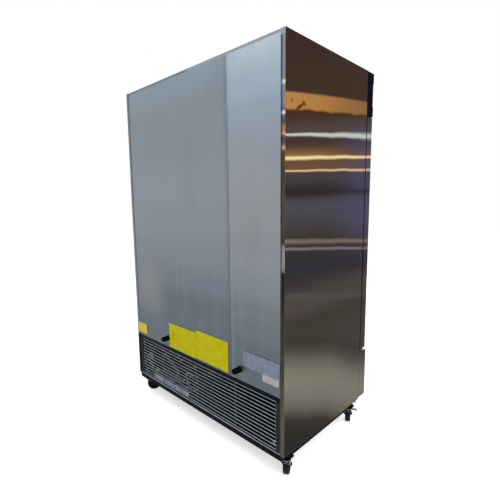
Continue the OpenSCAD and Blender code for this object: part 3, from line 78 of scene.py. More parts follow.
# Nodes of a material
class Graph:
    """One material and the nodes in it. Object coordinates are the part's own frame, in metres."""

    def __init__(self, name, tree=None):
        if tree is None:
            self.material = bpy.data.materials.new(name)
            self.material.use_nodes = True
            tree = self.material.node_tree
        self.tree = tree
        self.tree.nodes.clear()

    def node(self, kind, ins=None, **props):
        """A node with its properties. ins links or sets its sockets, by number or by name."""
        made = self.tree.nodes.new(kind)
        for key, value in props.items():
            setattr(made, key, value)
        for key, value in (ins or {}).items():
            if isinstance(value, bpy.types.NodeSocket):
                self.tree.links.new(value, made.inputs[key])
            else:
                made.inputs[key].default_value = value
        return made

    def place(self):
        """The object coordinates as a vector and as x, y and z."""
        point = self.node("ShaderNodeTexCoord").outputs["Object"]
        split = self.node("ShaderNodeSeparateXYZ", {0: point})
        return point, split.outputs[0], split.outputs[1], split.outputs[2]

    def facing(self):
        """The normal's three parts in the object's own frame."""
        normal = self.node("ShaderNodeTexCoord").outputs["Normal"]
        split = self.node("ShaderNodeSeparateXYZ", {0: normal})
        return split.outputs[0], split.outputs[1], split.outputs[2]

    def math(self, operation, a, b=0.0, c=0.0):
        return self.node("ShaderNodeMath", {0: a, 1: b, 2: c}, operation=operation).outputs[0]

    def both(self, *values):
        """The product of several values. Of shares from 0 to 1, it is the share where all of them hold."""
        product = values[0]
        for value in values[1:]:
            product = self.math("MULTIPLY", product, value)
        return product

    def spread(self, value, low, high, to_low=0.0, to_high=1.0, smooth=True):
        """A value carried from one range to another, and held at its ends."""
        kind = "SMOOTHSTEP" if smooth else "LINEAR"
        ins = {0: value, 1: low, 2: high, 3: to_low, 4: to_high}
        return self.node("ShaderNodeMapRange", ins, interpolation_type=kind).outputs[0]

    def window(self, value, rise, fall):
        """A share that rises over one range and falls over another."""
        return self.both(self.spread(value, *rise), self.spread(value, *fall))

    def near(self, value, middle, outer, inner, share=1.0):
        """A share that is full within inner of the middle and nothing beyond outer."""
        off = self.math("ABSOLUTE", self.math("SUBTRACT", value, middle))
        return self.spread(off, outer, inner, 0.0, share)

    def mix(self, share, a, b, blend="MIX"):
        ins = {0: share, 6: a, 7: b}
        made = self.node("ShaderNodeMix", ins, data_type="RGBA", blend_type=blend)
        return made.outputs[2]

    def cover(self, share, colour, text):
        """A colour covered by another, written as text, by a share."""
        return self.mix(share, colour, tint(text))

    def tones(self, value, low, high, first, second):
        """Two written colours, from the first at low to the second at high."""
        return self.mix(self.spread(value, low, high), tint(first), tint(second))

    def noise(self, point, scale, detail=2.0, stretch=(1, 1, 1), shift=(0, 0, 0), rough=0.5):
        moved = self.node("ShaderNodeMapping", {0: point, 1: shift, 3: stretch}).outputs[0]
        ins = {"Vector": moved, "Scale": scale, "Detail": detail, "Roughness": rough}
        return self.node("ShaderNodeTexNoise", ins).outputs["Fac"]

    def ramp(self, value, stops, smooth=False):
        made = self.node("ShaderNodeValToRGB", {0: value})
        band = made.color_ramp
        band.interpolation = "EASE" if smooth else "LINEAR"
        while len(band.elements) < len(stops):
            band.elements.new(0.5)
        for element, (at, text) in zip(band.elements, stops):
            element.position = at
            element.color = tint(text)
        return made.outputs[0]

    def bump(self, height, distance, strength=1.0, below=None):
        ins = {"Height": height, "Distance": distance, "Strength": strength}
        if below is not None:
            ins["Normal"] = below
        return self.node("ShaderNodeBump", ins).outputs[0]

    def shade(self, colour, roughness, metallic=0.0, normal=None, **constants):
        """The finished surface. constants are further sockets of the shader, with _ for a space."""
        ins = {"Base Color": colour, "Roughness": roughness, "Metallic": metallic}
        if normal is not None:
            ins["Normal"] = normal
        ins.update({key.replace("_", " "): value for key, value in constants.items()})
        surface = self.node("ShaderNodeBsdfPrincipled", ins).outputs[0]
        self.node("ShaderNodeOutputMaterial", {0: surface})
        return self.material


def tint(text):
    """A screen colour such as #8d95a0 as Blender's own linear colour."""
    parts = [int(text[i : i + 2], 16) / 255 for i in (1, 3, 5)]
    return tuple(c / 12.92 if c <= 0.04045 else ((c + 0.055) / 1.055) ** 2.4 for c in parts) + (1.0,)


# Camera, light and floor
def add_camera():
    """A camera where the photograph was taken from: behind the object, at its -X side."""
    yaw, pitch, roll = (math.radians(a) for a in (VIEW_YAW, VIEW_PITCH, VIEW_ROLL))
    ahead = Vector((math.sin(yaw) * math.cos(pitch), math.cos(yaw) * math.cos(pitch), math.sin(pitch)))
    level = Vector((math.cos(yaw), -math.sin(yaw), 0))
    upright = level.cross(ahead)
    right = math.cos(roll) * level + math.sin(roll) * upright
    up = math.cos(roll) * upright - math.sin(roll) * level
    data = bpy.data.cameras.new("view")
    data.sensor_width = 36
    data.lens = LENS_MM
    data.clip_end = 100
    camera = bpy.data.objects.new("view", data)
    COLLECTION.objects.link(camera)
    turn = Matrix((right, up, -ahead)).transposed()
    camera.matrix_world = Matrix.Translation(EYE) @ turn.to_4x4()
    bpy.context.scene.camera = camera


def seen_directly(g):
    """A share that is 1 for what the camera or a gloss sees, and the kinds of ray."""
    rays = g.node("ShaderNodeLightPath").outputs
    seen = g.math("MAXIMUM", rays["Is Camera Ray"], rays["Is Glossy Ray"])
    return seen, rays


def add_world():
    """Soft pale light, and white where the camera or a reflection looks past the object."""
    world = bpy.data.worlds.new("room")
    world.use_nodes = True
    bpy.context.scene.world = world
    g = Graph("room", world.node_tree)
    seen, rays = seen_directly(g)
    seen = g.math("MAXIMUM", seen, rays["Is Transmission Ray"])
    soft = g.node("ShaderNodeBackground", {0: (0.94, 0.97, 1.0, 1.0), 1: WORLD_LIGHT}).outputs[0]
    white = g.node("ShaderNodeBackground", {0: (1.0, 1.0, 1.0, 1.0), 1: 1.0}).outputs[0]
    mixed = g.node("ShaderNodeMixShader", {0: seen, 1: soft, 2: white}).outputs[0]
    g.node("ShaderNodeOutputWorld", {0: mixed})


def add_lamp(name, at, size, watts):
    """A round lamp, aimed at the object's middle and hidden from reflections."""
    data = bpy.data.lights.new(name, "AREA")
    data.shape = "DISK"
    data.size = size
    data.energy = watts
    lamp = bpy.data.objects.new(name, data)
    COLLECTION.objects.link(lamp)
    lamp.visible_glossy = False
    lamp.location = at
    lamp.rotation_euler = (Vector(LAMP_AIM) - Vector(at)).to_track_quat("-Z", "Y").to_euler()


def add_floor():
    """A plain pale floor that keeps the object's shadow."""
    bm = bmesh.new()
    reach = FLOOR_REACH
    places = ((-reach, -reach), (reach, -reach), (reach, reach), (-reach, reach))
    bm.faces.new([bm.verts.new((x, y, 0)) for x, y in places])
    floor = to_object("floor", bm, None, None)
    g = Graph("floor_paint")
    seen, _ = seen_directly(g)
    light = g.math("MULTIPLY", seen, FLOOR_GLOW)
    point, *_ = g.place()
    colour = g.mix(g.noise(point, 30.0), tint("#e9e9e9"), tint("#ececec"))
    material = g.shade(colour, 0.9, Emission_Color=(1, 1, 1, 1), Emission_Strength=light)
    floor.data.materials.append(material)


# Meshes
def to_object(name, bm, material, body, smooth=False):
    """A mesh object from a bmesh, riding on a body of the part."""
    bmesh.ops.recalc_face_normals(bm, faces=bm.faces[:])
    mesh = bpy.data.meshes.new(name)
    bm.to_mesh(mesh)
    bm.free()
    if smooth:
        mesh.shade_smooth()
    thing = bpy.data.objects.new(name, mesh)
    COLLECTION.objects.link(thing)
    if material is not None:
        mesh.materials.append(material)
    if body is not None:
        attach(thing, body)
    return thing


def join_rings(bm, rings):
    """A closed skin over rings of equally many points, with a flat face at both ends."""
    count = len(rings[0])
    for low, high in zip(rings, rings[1:]):
        for k in range(count):
            after = (k + 1) % count
            bm.faces.new((low[k], low[after], high[after], high[k]))
    bm.faces.new(rings[0])
    bm.faces.new(rings[-1])


def lathe(bm, profile, turn, sides=24, corners=None):
    """A turned solid: (radius, height) pairs in millimetres, swept about z. corners gives a polygon head."""
    rings = []
    for radius, height in ((r * MM, h * MM) for r, h in profile):
        ring = []
        for k in range(sides):
            a = FULL_TURN * k / sides
            r = radius
            if corners and radius > 0:
                sector = FULL_TURN / corners
                r = radius * math.cos(sector / 2) / math.cos((a % sector) - sector / 2)
            ring.append(bm.verts.new(turn @ Vector((r * math.cos(a), r * math.sin(a), height))))
        rings.append(ring)
    join_rings(bm, rings)


def aimed(at, axis, spin=0.0):
    """A transform that puts the local z axis along axis, at a point."""
    turn = Vector(axis).to_track_quat("Z", "Y").to_matrix().to_4x4()
    return Matrix.Translation(at) @ turn @ Matrix.Rotation(spin, 4, "Z")


def smooth_path(points, steps=8):
    """A Catmull-Rom line through points."""
    pts = [Vector(p) for p in points]
    ends = [2 * pts[0] - pts[1]] + pts + [2 * pts[-1] - pts[-2]]
    line = []
    for k in range(1, len(ends) - 2):
        a, b, c, d = ends[k - 1 : k + 3]
        for s in range(steps):
            t = s / steps
            even = 2 * b + (c - a) * t
            bowed = (2 * a - 5 * b + 4 * c - d) * t * t + (3 * b - a - 3 * c + d) * t**3
            line.append(0.5 * (even + bowed))
    line.append(pts[-1])
    return line


def sweep(bm, line, radius, sides=12):
    """A round bar of even thickness along a line of points, closed at both ends."""
    side = None
    rings = []
    for k, at in enumerate(line):
        ahead = (line[min(k + 1, len(line) - 1)] - line[max(k - 1, 0)]).normalized()
        if side is None:
            side = ahead.orthogonal().normalized()
        side = (side - ahead * side.dot(ahead)).normalized()
        across = ahead.cross(side)
        turns = [FULL_TURN * s / sides for s in range(sides)]
        rings.append([bm.verts.new(at + radius * (math.cos(a) * side + math.sin(a) * across)) for a in turns])
    join_rings(bm, rings)


def bar_piece(name, lines, radius, look, sides=12):
    """Round bars along lines, as one piece on the cabinet. A look is a material and its slot; only the
    material is used.
    """
    bm = bmesh.new()
    for line in lines:
        sweep(bm, line, radius * MM, sides)
    material, slot = look
    to_object(name, bm, material, "cabinet", smooth=True)


def bent(name, radius, look, points, steps=8):
    """A hose or lead through points, with its radius in millimetres."""
    bar_piece(name, [smooth_path(points, steps)], radius, look)


# Stainless steel, with painted reflections of a lit room. Its tones are pairs of a level and the colour
# there, as in every ramp below
EDGE_TINT = (0.55, 0.55, 0.55, 1.0)
SIDE_TONES = (
    (0.075, "#2b2926"), (0.112, "#35312b"), (0.135, "#595549"), (0.150, "#676358"), (0.177, "#736f64"),
    (0.209, "#787468"), (0.235, "#736d61"), (0.258, "#5f5b52"), (0.280, "#46413a"), (0.305, "#35302a"),
    (0.336, "#3b352f"), (0.366, "#38312b"), (0.397, "#463f3c"), (0.427, "#433e3c"), (0.457, "#35302f"),
    (0.487, "#2f2d32"), (0.520, "#353134"), (0.568, "#413a35"), (0.603, "#4c4a51"), (0.631, "#525059"),
    (0.647, "#4b474d"), (0.656, "#363030"), (0.672, "#3a3133"), (0.690, "#4a4447"), (0.700, "#4b4446"),
    (0.712, "#785a40"), (0.742, "#6c4f38"), (0.765, "#4d3c34"), (0.795, "#5a4c45"), (0.822, "#4a3627"),
    (0.880, "#48352a"), (1.000, "#422f29"),
)
# Painted reflection bands on the steel's front faces, by level
FRONT_TONES = (
    (0.00, "#55534f"), (0.12, "#8a8780"), (0.22, "#97948d"), (0.30, "#6f6a64"), (0.42, "#76726d"),
    (0.52, "#8b888a"), (0.60, "#7b7470"), (0.70, "#8d857c"), (0.78, "#a39e97"), (0.88, "#8f8379"),
    (1.00, "#7c736c"),
)
# The -X rear flange by height: painted reflections, with white painted highlights
FLANGE_TONES = (
    (0.000, "#4f4c3c"), (0.080, "#504d3d"), (0.167, "#474437"), (0.210, "#3a3832"), (0.280, "#37332b"),
    (0.370, "#2f2b25"), (0.410, "#241f1c"), (0.465, "#241f1c"), (0.472, "#7a7468"), (0.500, "#8a8a84"),
    (0.528, "#7d7c76"), (0.536, "#3f352f"), (0.567, "#47443a"), (0.635, "#4e4a40"), (0.700, "#4b4234"),
    (0.742, "#5a4636"), (0.750, "#dba988"), (0.758, "#5f5048"), (0.776, "#5a4c45"), (0.780, "#c9beb4"),
    (0.784, "#b87c50"), (0.796, "#b87c50"), (0.802, "#5c5258"), (0.820, "#66636c"), (0.825, "#ffffff"),
    (0.830, "#66636c"), (0.842, "#86858f"), (0.884, "#8d8c97"), (0.889, "#ffffff"), (0.895, "#8d8c97"),
    (1.000, "#8c8a95"),
)
# Thin lines of painted reflection and painted highlight on the sides: level, half width at the back and at
# the front, colour, share
SIDE_LINES = (
    (0.7705, 0.0050, 0.0020, "#3f2e25", 0.70),
    (0.7338, 0.0072, 0.0052, "#ffe6a4", 1.0),
    (0.7068, 0.0034, 0.0046, "#e6c8a0", 0.95),
    (0.6620, 0.0080, 0.0080, "#2f2628", 0.60),
    (0.5535, 0.0095, 0.0075, "#7e6a5f", 0.90),
    (0.5370, 0.0060, 0.0050, "#7b7771", 0.85),
    (0.4300, 0.0120, 0.0080, "#4c4949", 0.50),
)
# Dark blots in the painted reflection's gold band: y, z, reach along y and z, tilt, share
BLOTS = (
    (0.296, 1.832, 0.034, 0.011, -0.5, 0.85),
    (0.262, 1.849, 0.016, 0.012, 0.3, 0.75),
    (0.352, 1.853, 0.010, 0.008, 0, 0.6),
)
# A side's painted reflection tones lie on lines that meet at the height of the photo's eye, as those of a
# level room do. The first pair says how far ahead of the eye a side is, at y = 0 and for each metre of y. The
# second brings the slope of such a line to a level, from about 0 at the floor to 1 at the top.
AHEAD_AT_MIDDLE, AHEAD_PER_Y = 1.932, -0.72
SLOPE_SHIFT, SLOPE_SPAN = 0.8, 1.25


def room_level(g, y, z):
    """The level of a point on a side, by which its painted reflection tones go."""
    ahead = g.math("MULTIPLY_ADD", y, AHEAD_PER_Y, AHEAD_AT_MIDDLE)
    slope = g.math("DIVIDE", g.math("SUBTRACT", z, EYE[2]), ahead)
    return g.math("DIVIDE", g.math("ADD", slope, SLOPE_SHIFT), SLOPE_SPAN)


def tone_line(g, level, y, centre, rear, front, wave):
    """How much of a line shows that is as wide as rear at the back and as front at the face."""
    width = g.spread(y, -0.36, 0.40, front, rear, smooth=False)
    off = g.math("ADD", g.math("SUBTRACT", level, centre), wave)
    near = g.math("DIVIDE", g.math("ABSOLUTE", off), width)
    return g.spread(near, 0.0, 1.0, 1.0, 0.0)


def side_ramp(g, level, y, slow):
    """The broad painted reflection tones of a side, bent a little towards the front and toned down, most of
    all low down.
    """
    bent_level = g.math("MULTIPLY_ADD", slow, 0.012, level)
    low = g.both(g.spread(y, -0.36, 0.02), g.spread(level, 0.37, 0.33))
    bent_level = g.math("MULTIPLY_ADD", low, -0.018, bent_level)
    swoop = g.window(level, (0.34, 0.38), (0.53, 0.48))
    swoop = g.both(swoop, g.math("MULTIPLY_ADD", y, 0.068, -0.0245))
    bent_level = g.math("ADD", bent_level, swoop)
    return g.cover(g.spread(level, 0.27, 0.30, 0.20, 0.13), g.ramp(bent_level, SIDE_TONES), "#0c0b0a")


def gold_band(g, colour, level, y, z, fast):
    """The painted reflection of a warm band near the top of a side, with three dark blots."""
    top = g.math("MULTIPLY_ADD", y, -0.0307, level)
    bottom = g.math("MULTIPLY_ADD", fast, 0.010, g.math("MULTIPLY_ADD", y, -0.0207, level))
    gold = g.both(g.spread(bottom, 0.8235, 0.8305), g.spread(top, 0.8610, 0.8545))
    colour = g.mix(gold, colour, g.tones(y, 0.30, -0.36, "#bb8548", "#97693f"))
    for at_y, at_z, reach_y, reach_z, tilt, share in BLOTS:
        off_z = g.math("MULTIPLY_ADD", g.math("SUBTRACT", y, at_y), -tilt, g.math("SUBTRACT", z, at_z))
        blot_y = g.math("DIVIDE", g.math("SUBTRACT", y, at_y), reach_y)
        blot_z = g.math("DIVIDE", g.math("MULTIPLY_ADD", fast, 0.03, off_z), reach_z)
        blot = g.math("ADD", g.both(blot_y, blot_y), g.both(blot_z, blot_z))
        colour = g.cover(g.spread(blot, 1.4, 0.2, 0.0, share), colour, "#4a2c17")
    return colour


def side_colour(g, level, y, z, slow, fast):
    """The painted reflection of a lit room on a polished side, fixed on the panel."""
    colour = gold_band(g, side_ramp(g, level, y, slow), level, y, z, fast)
    blue = g.both(g.spread(y, 0.10, -0.40), g.spread(level, 0.50, 0.62), g.spread(level, 0.83, 0.77))
    colour = g.cover(g.math("MULTIPLY", blue, 0.62), colour, "#524f70")
    ripple = g.math("ADD", g.math("MULTIPLY", slow, 0.006), g.math("MULTIPLY", fast, 0.003))
    glint_level = g.math("MULTIPLY_ADD", y, 0.0080, 0.7800)
    # A painted highlight: the bright glint line, and a painted glow round it.
    colour = g.cover(tone_line(g, level, y, glint_level, 0.0044, 0.0110, ripple), colour, "#d2d5d0")
    halo = g.window(level, (0.7320, 0.7360), (0.7600, 0.7360))
    colour = g.cover(g.both(halo, g.spread(y, -0.20, 0.25, 0.15, 0.60)), colour, "#a8784e")
    for centre, rear, front, text, share in SIDE_LINES:
        line = tone_line(g, level, y, centre, rear, front, ripple)
        colour = g.cover(g.math("MULTIPLY", line, share), colour, text)
    return colour


def flange_colour(g, colour, x, y, z, ny):
    """The narrow rear flanges: painted reflections and painted highlights at -X, with a painted shadow line
    along the inner edge; plain and grey at +X, with a dark line at the outer edge and darker below the skirt.
    """
    behind = g.both(g.spread(ny, 0.5, 0.9), g.spread(y, 0.394, 0.397))
    strip = g.ramp(g.spread(z, 0.15, 2.14, smooth=False), FLANGE_TONES)
    # Painted shadow line along the -X flange's inner edge, beside the back panel.
    edge = g.both(g.spread(x, -0.678, -0.672), g.spread(z, 0.46, 1.30, 0.35, 0.8))
    strip = g.cover(edge, strip, "#35332f")
    strip = g.cover(g.spread(z, 2.110, 2.116), strip, "#98a3ad")
    colour = g.mix(behind, colour, strip)
    plain = g.cover(g.spread(x, 0.684, 0.688, 0.0, 0.8), tint("#7f8993"), "#39424a")
    plain = g.mix(g.spread(z, 0.458, 0.462), tint("#1d1f24"), plain)
    return g.mix(g.both(behind, g.spread(x, -0.01, 0.01)), colour, plain)


def painted_shade(g, colour, x, y, z, nx, ny):
    """Painted shade: on the face behind the doors, in the joint beside the front panel and inside the
    compartment.
    """
    # Painted shade on faces that look back into the gap behind the doors.
    rim = g.both(g.spread(ny, 0.5, 0.9), g.spread(y, -0.3655, -0.3660))
    colour = g.cover(rim, colour, "#141416")
    # Painted shadow in the joint beside the front panel.
    joint = g.near(y, FACE_Y + 0.002, 0.0060, 0.0040)
    joint = g.both(joint, g.spread(z, SKIRT_Z - 0.02, SKIRT_Z - 0.14, 0.0, 0.75))
    colour = g.cover(joint, colour, "#1c1b1a")
    # Painted shade inside the compartment, below the skirt.
    below = g.spread(z, SKIRT_Z + 0.001, SKIRT_Z)
    inner = g.both(g.spread(g.math("MULTIPLY", nx, x), 0.0, -0.3), below)
    inner_front = g.both(g.spread(ny, 0.5, 0.9), g.spread(y, -0.354, -0.356), below)
    return g.cover(g.math("MAXIMUM", inner, inner_front), colour, "#0b0c10")


def steel(name):
    """Brushed stainless with a vertical grain. Its sides and faces carry painted reflections of a room in
    soft level tones, and painted shade in gaps and in the compartment.
    """
    g = Graph(name)
    point, x, y, z = g.place()
    nx, ny, nz = g.facing()
    level = room_level(g, y, z)
    slow = g.math("SUBTRACT", g.noise(point, 3.2, 2.0, (0, 1, 0.15)), 0.5)
    fast = g.math("SUBTRACT", g.noise(point, 9.0, 2.0, (0, 1, 0.3), (0, 3.7, 0)), 0.5)
    side = side_colour(g, level, y, z, slow, fast)
    front = g.ramp(g.math("MULTIPLY_ADD", slow, 0.01, level), FRONT_TONES, smooth=True)
    colour = g.mix(g.spread(g.math("ABSOLUTE", nx), 0.55, 0.85), front, side)
    colour = g.cover(g.spread(nz, 0.6, 0.9), colour, "#8e8d8b")
    colour = flange_colour(g, colour, x, y, z, ny)
    grain = g.noise(point, 90.0, 3.0, (9.0, 9.0, 0.05))
    colour = g.cover(g.spread(grain, 0.3, 0.7, 0.0, 0.10), colour, "#14110f")
    colour = painted_shade(g, colour, x, y, z, nx, ny)
    rough = g.spread(grain, 0.2, 0.8, 0.24, 0.36, smooth=False)
    dents = g.noise(point, 2.4, 1.0, (1, 1, 0.6), (2, 7, 1))
    normal = g.bump(grain, 0.00006, 0.5, g.bump(dents, 0.0020, 0.15))
    return g.shade(colour, rough, 1.0, normal, Specular_Tint=EDGE_TINT)


# Other metals
# Back panel tones by height, darker at the bottom: partly the sheet's tone, partly painted shade and light
WIDE_TONES = (
    (0.00, "#4c565c"), (0.12, "#525c63"), (0.21, "#555f67"), (0.285, "#67707a"), (0.38, "#757d86"),
    (0.49, "#80878f"), (0.62, "#858e96"), (0.76, "#818b94"), (0.87, "#808b94"), (1.00, "#8795a0"),
)
NARROW_TONES = (
    (0.00, "#505a60"), (0.116, "#545d65"), (0.18, "#5d666d"), (0.243, "#666d73"), (0.305, "#737b7f"),
    (0.41, "#80858b"), (0.53, "#898c91"), (0.65, "#8d9298"), (0.74, "#8d959f"), (0.82, "#909dab"),
    (0.89, "#9cabb9"), (1.00, "#b6c4cf"),
)


def seam_colour(g, colour, x):
    """A painted highlight along the hem, a painted shadow line and a soft painted shade at the seam of the
    back panels.
    """
    pale = g.window(x, (SEAM_X - 0.0008, SEAM_X - 0.003), (SEAM_X - 0.030, SEAM_X - 0.022))
    colour = g.cover(g.math("MULTIPLY", pale, 0.16), colour, "#969da5")
    soft = g.window(x, (SEAM_X - 0.0008, SEAM_X + 0.001), (SEAM_X + 0.036, SEAM_X + 0.012))
    colour = g.cover(g.math("MULTIPLY", soft, 0.18), colour, "#565d65")
    return g.cover(g.near(x, SEAM_X, 0.0030, 0.0012, 0.4), colour, "#454c54")


def frame_colour(g, x, y, z, streak):
    """The machine compartment's frame: posts, band and hollow painted dark for shade, and a painted highlight
    on the sill.
    """
    post = g.tones(x, -0.01, 0.01, "#25272a", "#262731")
    post = g.cover(g.spread(z, 0.424, 0.430), post, "#0b0c0f")
    # A painted highlight on the sill.
    sill = g.tones(streak, 0.35, 0.65, "#8e91a2", "#a7aaba")
    face = g.mix(g.spread(g.math("ABSOLUTE", x), 0.6365, 0.6375), tint("#0d0f12"), post)
    face = g.mix(g.spread(z, 0.1556, 0.1552), face, sill)
    hollow = g.tones(x, -0.10, 0.10, "#07090e", "#090b0e")
    return g.mix(g.spread(y, 0.3955, 0.3930), face, hollow)


def galvanised(name, dark=False):
    """Coated sheet steel: satin, a little cloudy, with faint streaks and shallow dents. dark gives the
    compartment frame's colours of painted shade and highlight.
    """
    g = Graph(name)
    point, x, y, z = g.place()
    streak = g.noise(point, 14.0, 3.0, (1.0, 1.0, 0.06), (1, 2, 0))
    if dark:
        colour = frame_colour(g, x, y, z, streak)
    else:
        colour = back_colour(g, point, x, z, streak)
    rough = g.spread(streak, 0.2, 0.8, 0.36, 0.50, smooth=False)
    dents = g.noise(point, 1.9, 1.0, (1, 1, 0.55), (3, 1, 8))
    fine = g.noise(point, 260.0, 2.0)
    normal = g.bump(fine, 0.00004, 0.4, g.bump(dents, 0.004, 0.12))
    if dark:
        return g.shade(colour, rough, 0.0, normal, Specular_IOR_Level=0.03)
    return g.shade(colour, rough, 0.75, normal)


def back_colour(g, point, x, z, streak):
    """The two back panels: tones by height, darker towards the bottom and partly painted shade and light, a
    painted warm reflection patch, clouds and spangle.
    """
    height = g.spread(z, 0.45, 2.14, smooth=False)
    wide = g.ramp(height, WIDE_TONES, smooth=True)
    narrow = g.ramp(height, NARROW_TONES, smooth=True)
    colour = g.mix(g.spread(x, SEAM_X + 0.0006, SEAM_X - 0.0006), wide, narrow)
    drift = g.math("MULTIPLY_ADD", g.noise(point, 3.1, 2.0, (1, 1, 0.8), (6, 1, 3)), 1.4, -0.7)
    # A painted warm reflection patch.
    warm_x = g.math("DIVIDE", g.math("SUBTRACT", x, 0.56), 0.34)
    warm_z = g.math("DIVIDE", g.math("SUBTRACT", z, 0.85), 0.24)
    warm = g.math("ADD", g.math("ADD", g.both(warm_x, warm_x), g.both(warm_z, warm_z)), drift)
    colour = g.cover(g.spread(warm, 1.1, -0.2, 0.0, 0.75), colour, "#7b7b7d")
    cloud = g.noise(point, 2.6, 3.0, (1, 1, 0.7), (4, 0, 2))
    spangle = g.node("ShaderNodeTexVoronoi", {"Vector": point, "Scale": 95.0}).outputs["Color"]
    colour = g.cover(g.spread(streak, 0.42, 0.72, 0.0, 0.07), colour, "#aab2ba")
    colour = g.cover(g.spread(cloud, 0.45, 0.75, 0.0, 0.12), colour, "#5b636b")
    colour = g.mix(0.035, colour, spangle, "OVERLAY")
    return seam_colour(g, colour, x)


def grained(name, light, dark, scale=60.0, stretch=(1, 1, 1), rough=(0.28, 0.5), bump=0.00005):
    """What zinc, wire and copper share: two tones in a fine or drawn grain, with its gloss and its skin."""
    g = Graph(name)
    point, *_ = g.place()
    grain = g.noise(point, scale, 4.0, stretch, rough=0.6)
    stain = g.noise(point, 9.0, 3.0, (1, 1, 1), (7, 3, 1))
    colour = g.tones(grain, 0.3, 0.7, dark, light)
    colour = g.cover(g.spread(stain, 0.52, 0.75, 0.0, 0.35), colour, dark)
    roughness = g.spread(grain, 0.2, 0.8, rough[1], rough[0], smooth=False)
    return g, colour, roughness, g.bump(grain, bump, 0.6)


def metal(name, light, dark, metallic=1.0, **grain):
    """A plain metal. grain is what grained takes."""
    g, colour, roughness, normal = grained(name, light, dark, **grain)
    return g.shade(colour, roughness, metallic, normal)


def stucco(name):
    """Embossed aluminium of the liner, with painted shade in the dimples."""
    g = Graph(name)
    point, *_ = g.place()
    cells = g.node("ShaderNodeTexVoronoi", {"Vector": point, "Scale": 140.0}).outputs["Distance"]
    colour = g.tones(g.noise(point, 5.0, 3.0), 0.3, 0.7, "#c3c7ca", "#d6d9db")
    colour = g.cover(g.spread(cells, 0.1, 0.5, 0.18, 0.0), colour, "#8f9498")
    rough = g.spread(cells, 0.0, 0.6, 0.32, 0.48, smooth=False)
    return g.shade(colour, rough, 0.6, g.bump(cells, 0.0003, 0.5))


def fins(name, dark="#4c4f51", light="#b4b8ba", soil="#6d675d"):
    """Thin aluminium fins: fine upright lines across the coil, the dark lines painted shade between the fins.
    """
    g = Graph(name)
    point, *_ = g.place()
    ins = {"Vector": point, "Scale": 140.0, "Distortion": 0.4, "Detail": 1.0}
    lines = g.node("ShaderNodeTexWave", ins).outputs["Fac"]
    colour = g.mix(lines, tint(dark), tint(light))
    colour = g.cover(g.spread(g.noise(point, 8.0, 3.0), 0.45, 0.75, 0.0, 0.5), colour, soil)
    return g.shade(colour, 0.42, 0.85, g.bump(lines, 0.0004, 0.6))


def copper(name):
    """Copper tube, painted near black below the skirt for the shade of the machine compartment, with a bare
    filter drier and the yellow plastic cap on its end.
    """
    g, colour, roughness, normal = grained(
        name, "#c47d52", "#8a5136", scale=40.0, stretch=(1, 1, 0.2), rough=(0.26, 0.44)
    )
    _, x, y, z = g.place()
    cap = g.both(g.spread(y, 0.3460, 0.3465), g.spread(x, 0.50, 0.5005))
    drier = g.both(
        g.near(y, 0.104, 0.0405, 0.0400), g.near(x, 0.179, 0.0135, 0.0130), g.near(z, 0.2135, 0.0135, 0.0130)
    )
    colour = g.cover(drier, colour, "#a8683f")
    compartment_shade = g.both(g.spread(z, 0.458, 0.454), g.math("SUBTRACT", 1.0, drier))
    colour = g.cover(g.math("MULTIPLY", compartment_shade, 0.88), colour, "#15110f")
    colour = g.cover(cap, colour, "#e6d34a")
    return g.shade(colour, roughness, g.math("SUBTRACT", 1.0, cap), normal)


def caster_steel(name):
    """Caster steel painted near black for the shade under the cabinet, with a painted highlight round the
    crown and a pale band on the fork, patchy by a wear noise.
    """
    g = Graph(name)
    point, _, _, z = g.place()
    grain = g.noise(point, 120.0, 3.0)
    wear = g.noise(point, 40.0, 3.0, (1, 1, 0.5), (2, 2, 1))
    colour = g.tones(grain, 0.3, 0.7, "#0e0f10", "#191a1a")
    band = g.window(z, (0.0720, 0.0750), (0.0925, 0.0905))
    colour = g.cover(g.both(band, g.spread(wear, 0.35, 0.6, 0.55, 1.0)), colour, "#85867d")
    # A painted highlight round the crown's edge.
    colour = g.cover(g.near(z, 0.1058, 0.0014, 0.0006), colour, "#a3a299")
    rough = g.spread(wear, 0.3, 0.7, 0.35, 0.55)
    return g.shade(colour, rough, 0.5, g.bump(grain, 0.00005, 0.5), Specular_IOR_Level=0.15)


def grille_coat(name):
    """Pale coated wire with painted shade on its underside; the uprights behind the wires are painted dark
    for the shade of the wires.
    """
    g, colour, roughness, normal = grained(name, "#a2a7b2", "#808591", scale=90.0, rough=(0.3, 0.46))
    y = g.place()[2]
    nz = g.facing()[2]
    colour = g.cover(g.spread(nz, 0.10, -0.30, 0.0, 0.85), colour, "#23262c")
    colour = g.cover(g.spread(y, 0.3900, 0.3893), colour, "#2f3237")
    return g.shade(colour, roughness, 0.7, normal, Specular_IOR_Level=0.2)


# Plastic, rubber and paint
def moulded(name, light, dark, rough=(0.4, 0.6), scale=700.0, bump=0.00006, worn=None, dust=0.0, rim=None,
            **constants):
    """Moulded plastic, rubber or powder coat: a fine skin, faint mottling, worn and dusty places, and a rim
    painted dark for shade.
    """
    g = Graph(name)
    point, x, _, _ = g.place()
    nz = g.facing()[2]
    skin = g.noise(point, scale, 3.0, rough=0.6)
    mottle = g.noise(point, 11.0, 3.0, (1, 1, 1), (2, 5, 9))
    colour = g.tones(mottle, 0.3, 0.7, dark, light)
    colour = g.cover(g.spread(skin, 0.35, 0.7, 0.0, 0.12), colour, worn or light)
    if dust:
        share = g.both(g.spread(nz, 0.4, 1.0), g.spread(mottle, 0.3, 0.7, 0.4 * dust, dust))
        colour = g.cover(share, colour, "#8c887f")
    # A rim painted dark for the shade in a gap.
    if rim:
        colour = g.cover(g.spread(g.math("ABSOLUTE", x), rim, rim + 0.0005), colour, "#0d0e14")
    roughness = g.spread(mottle, 0.3, 0.7, rough[0], rough[1])
    return g.shade(colour, roughness, 0.0, g.bump(skin, bump, 0.7), **constants)


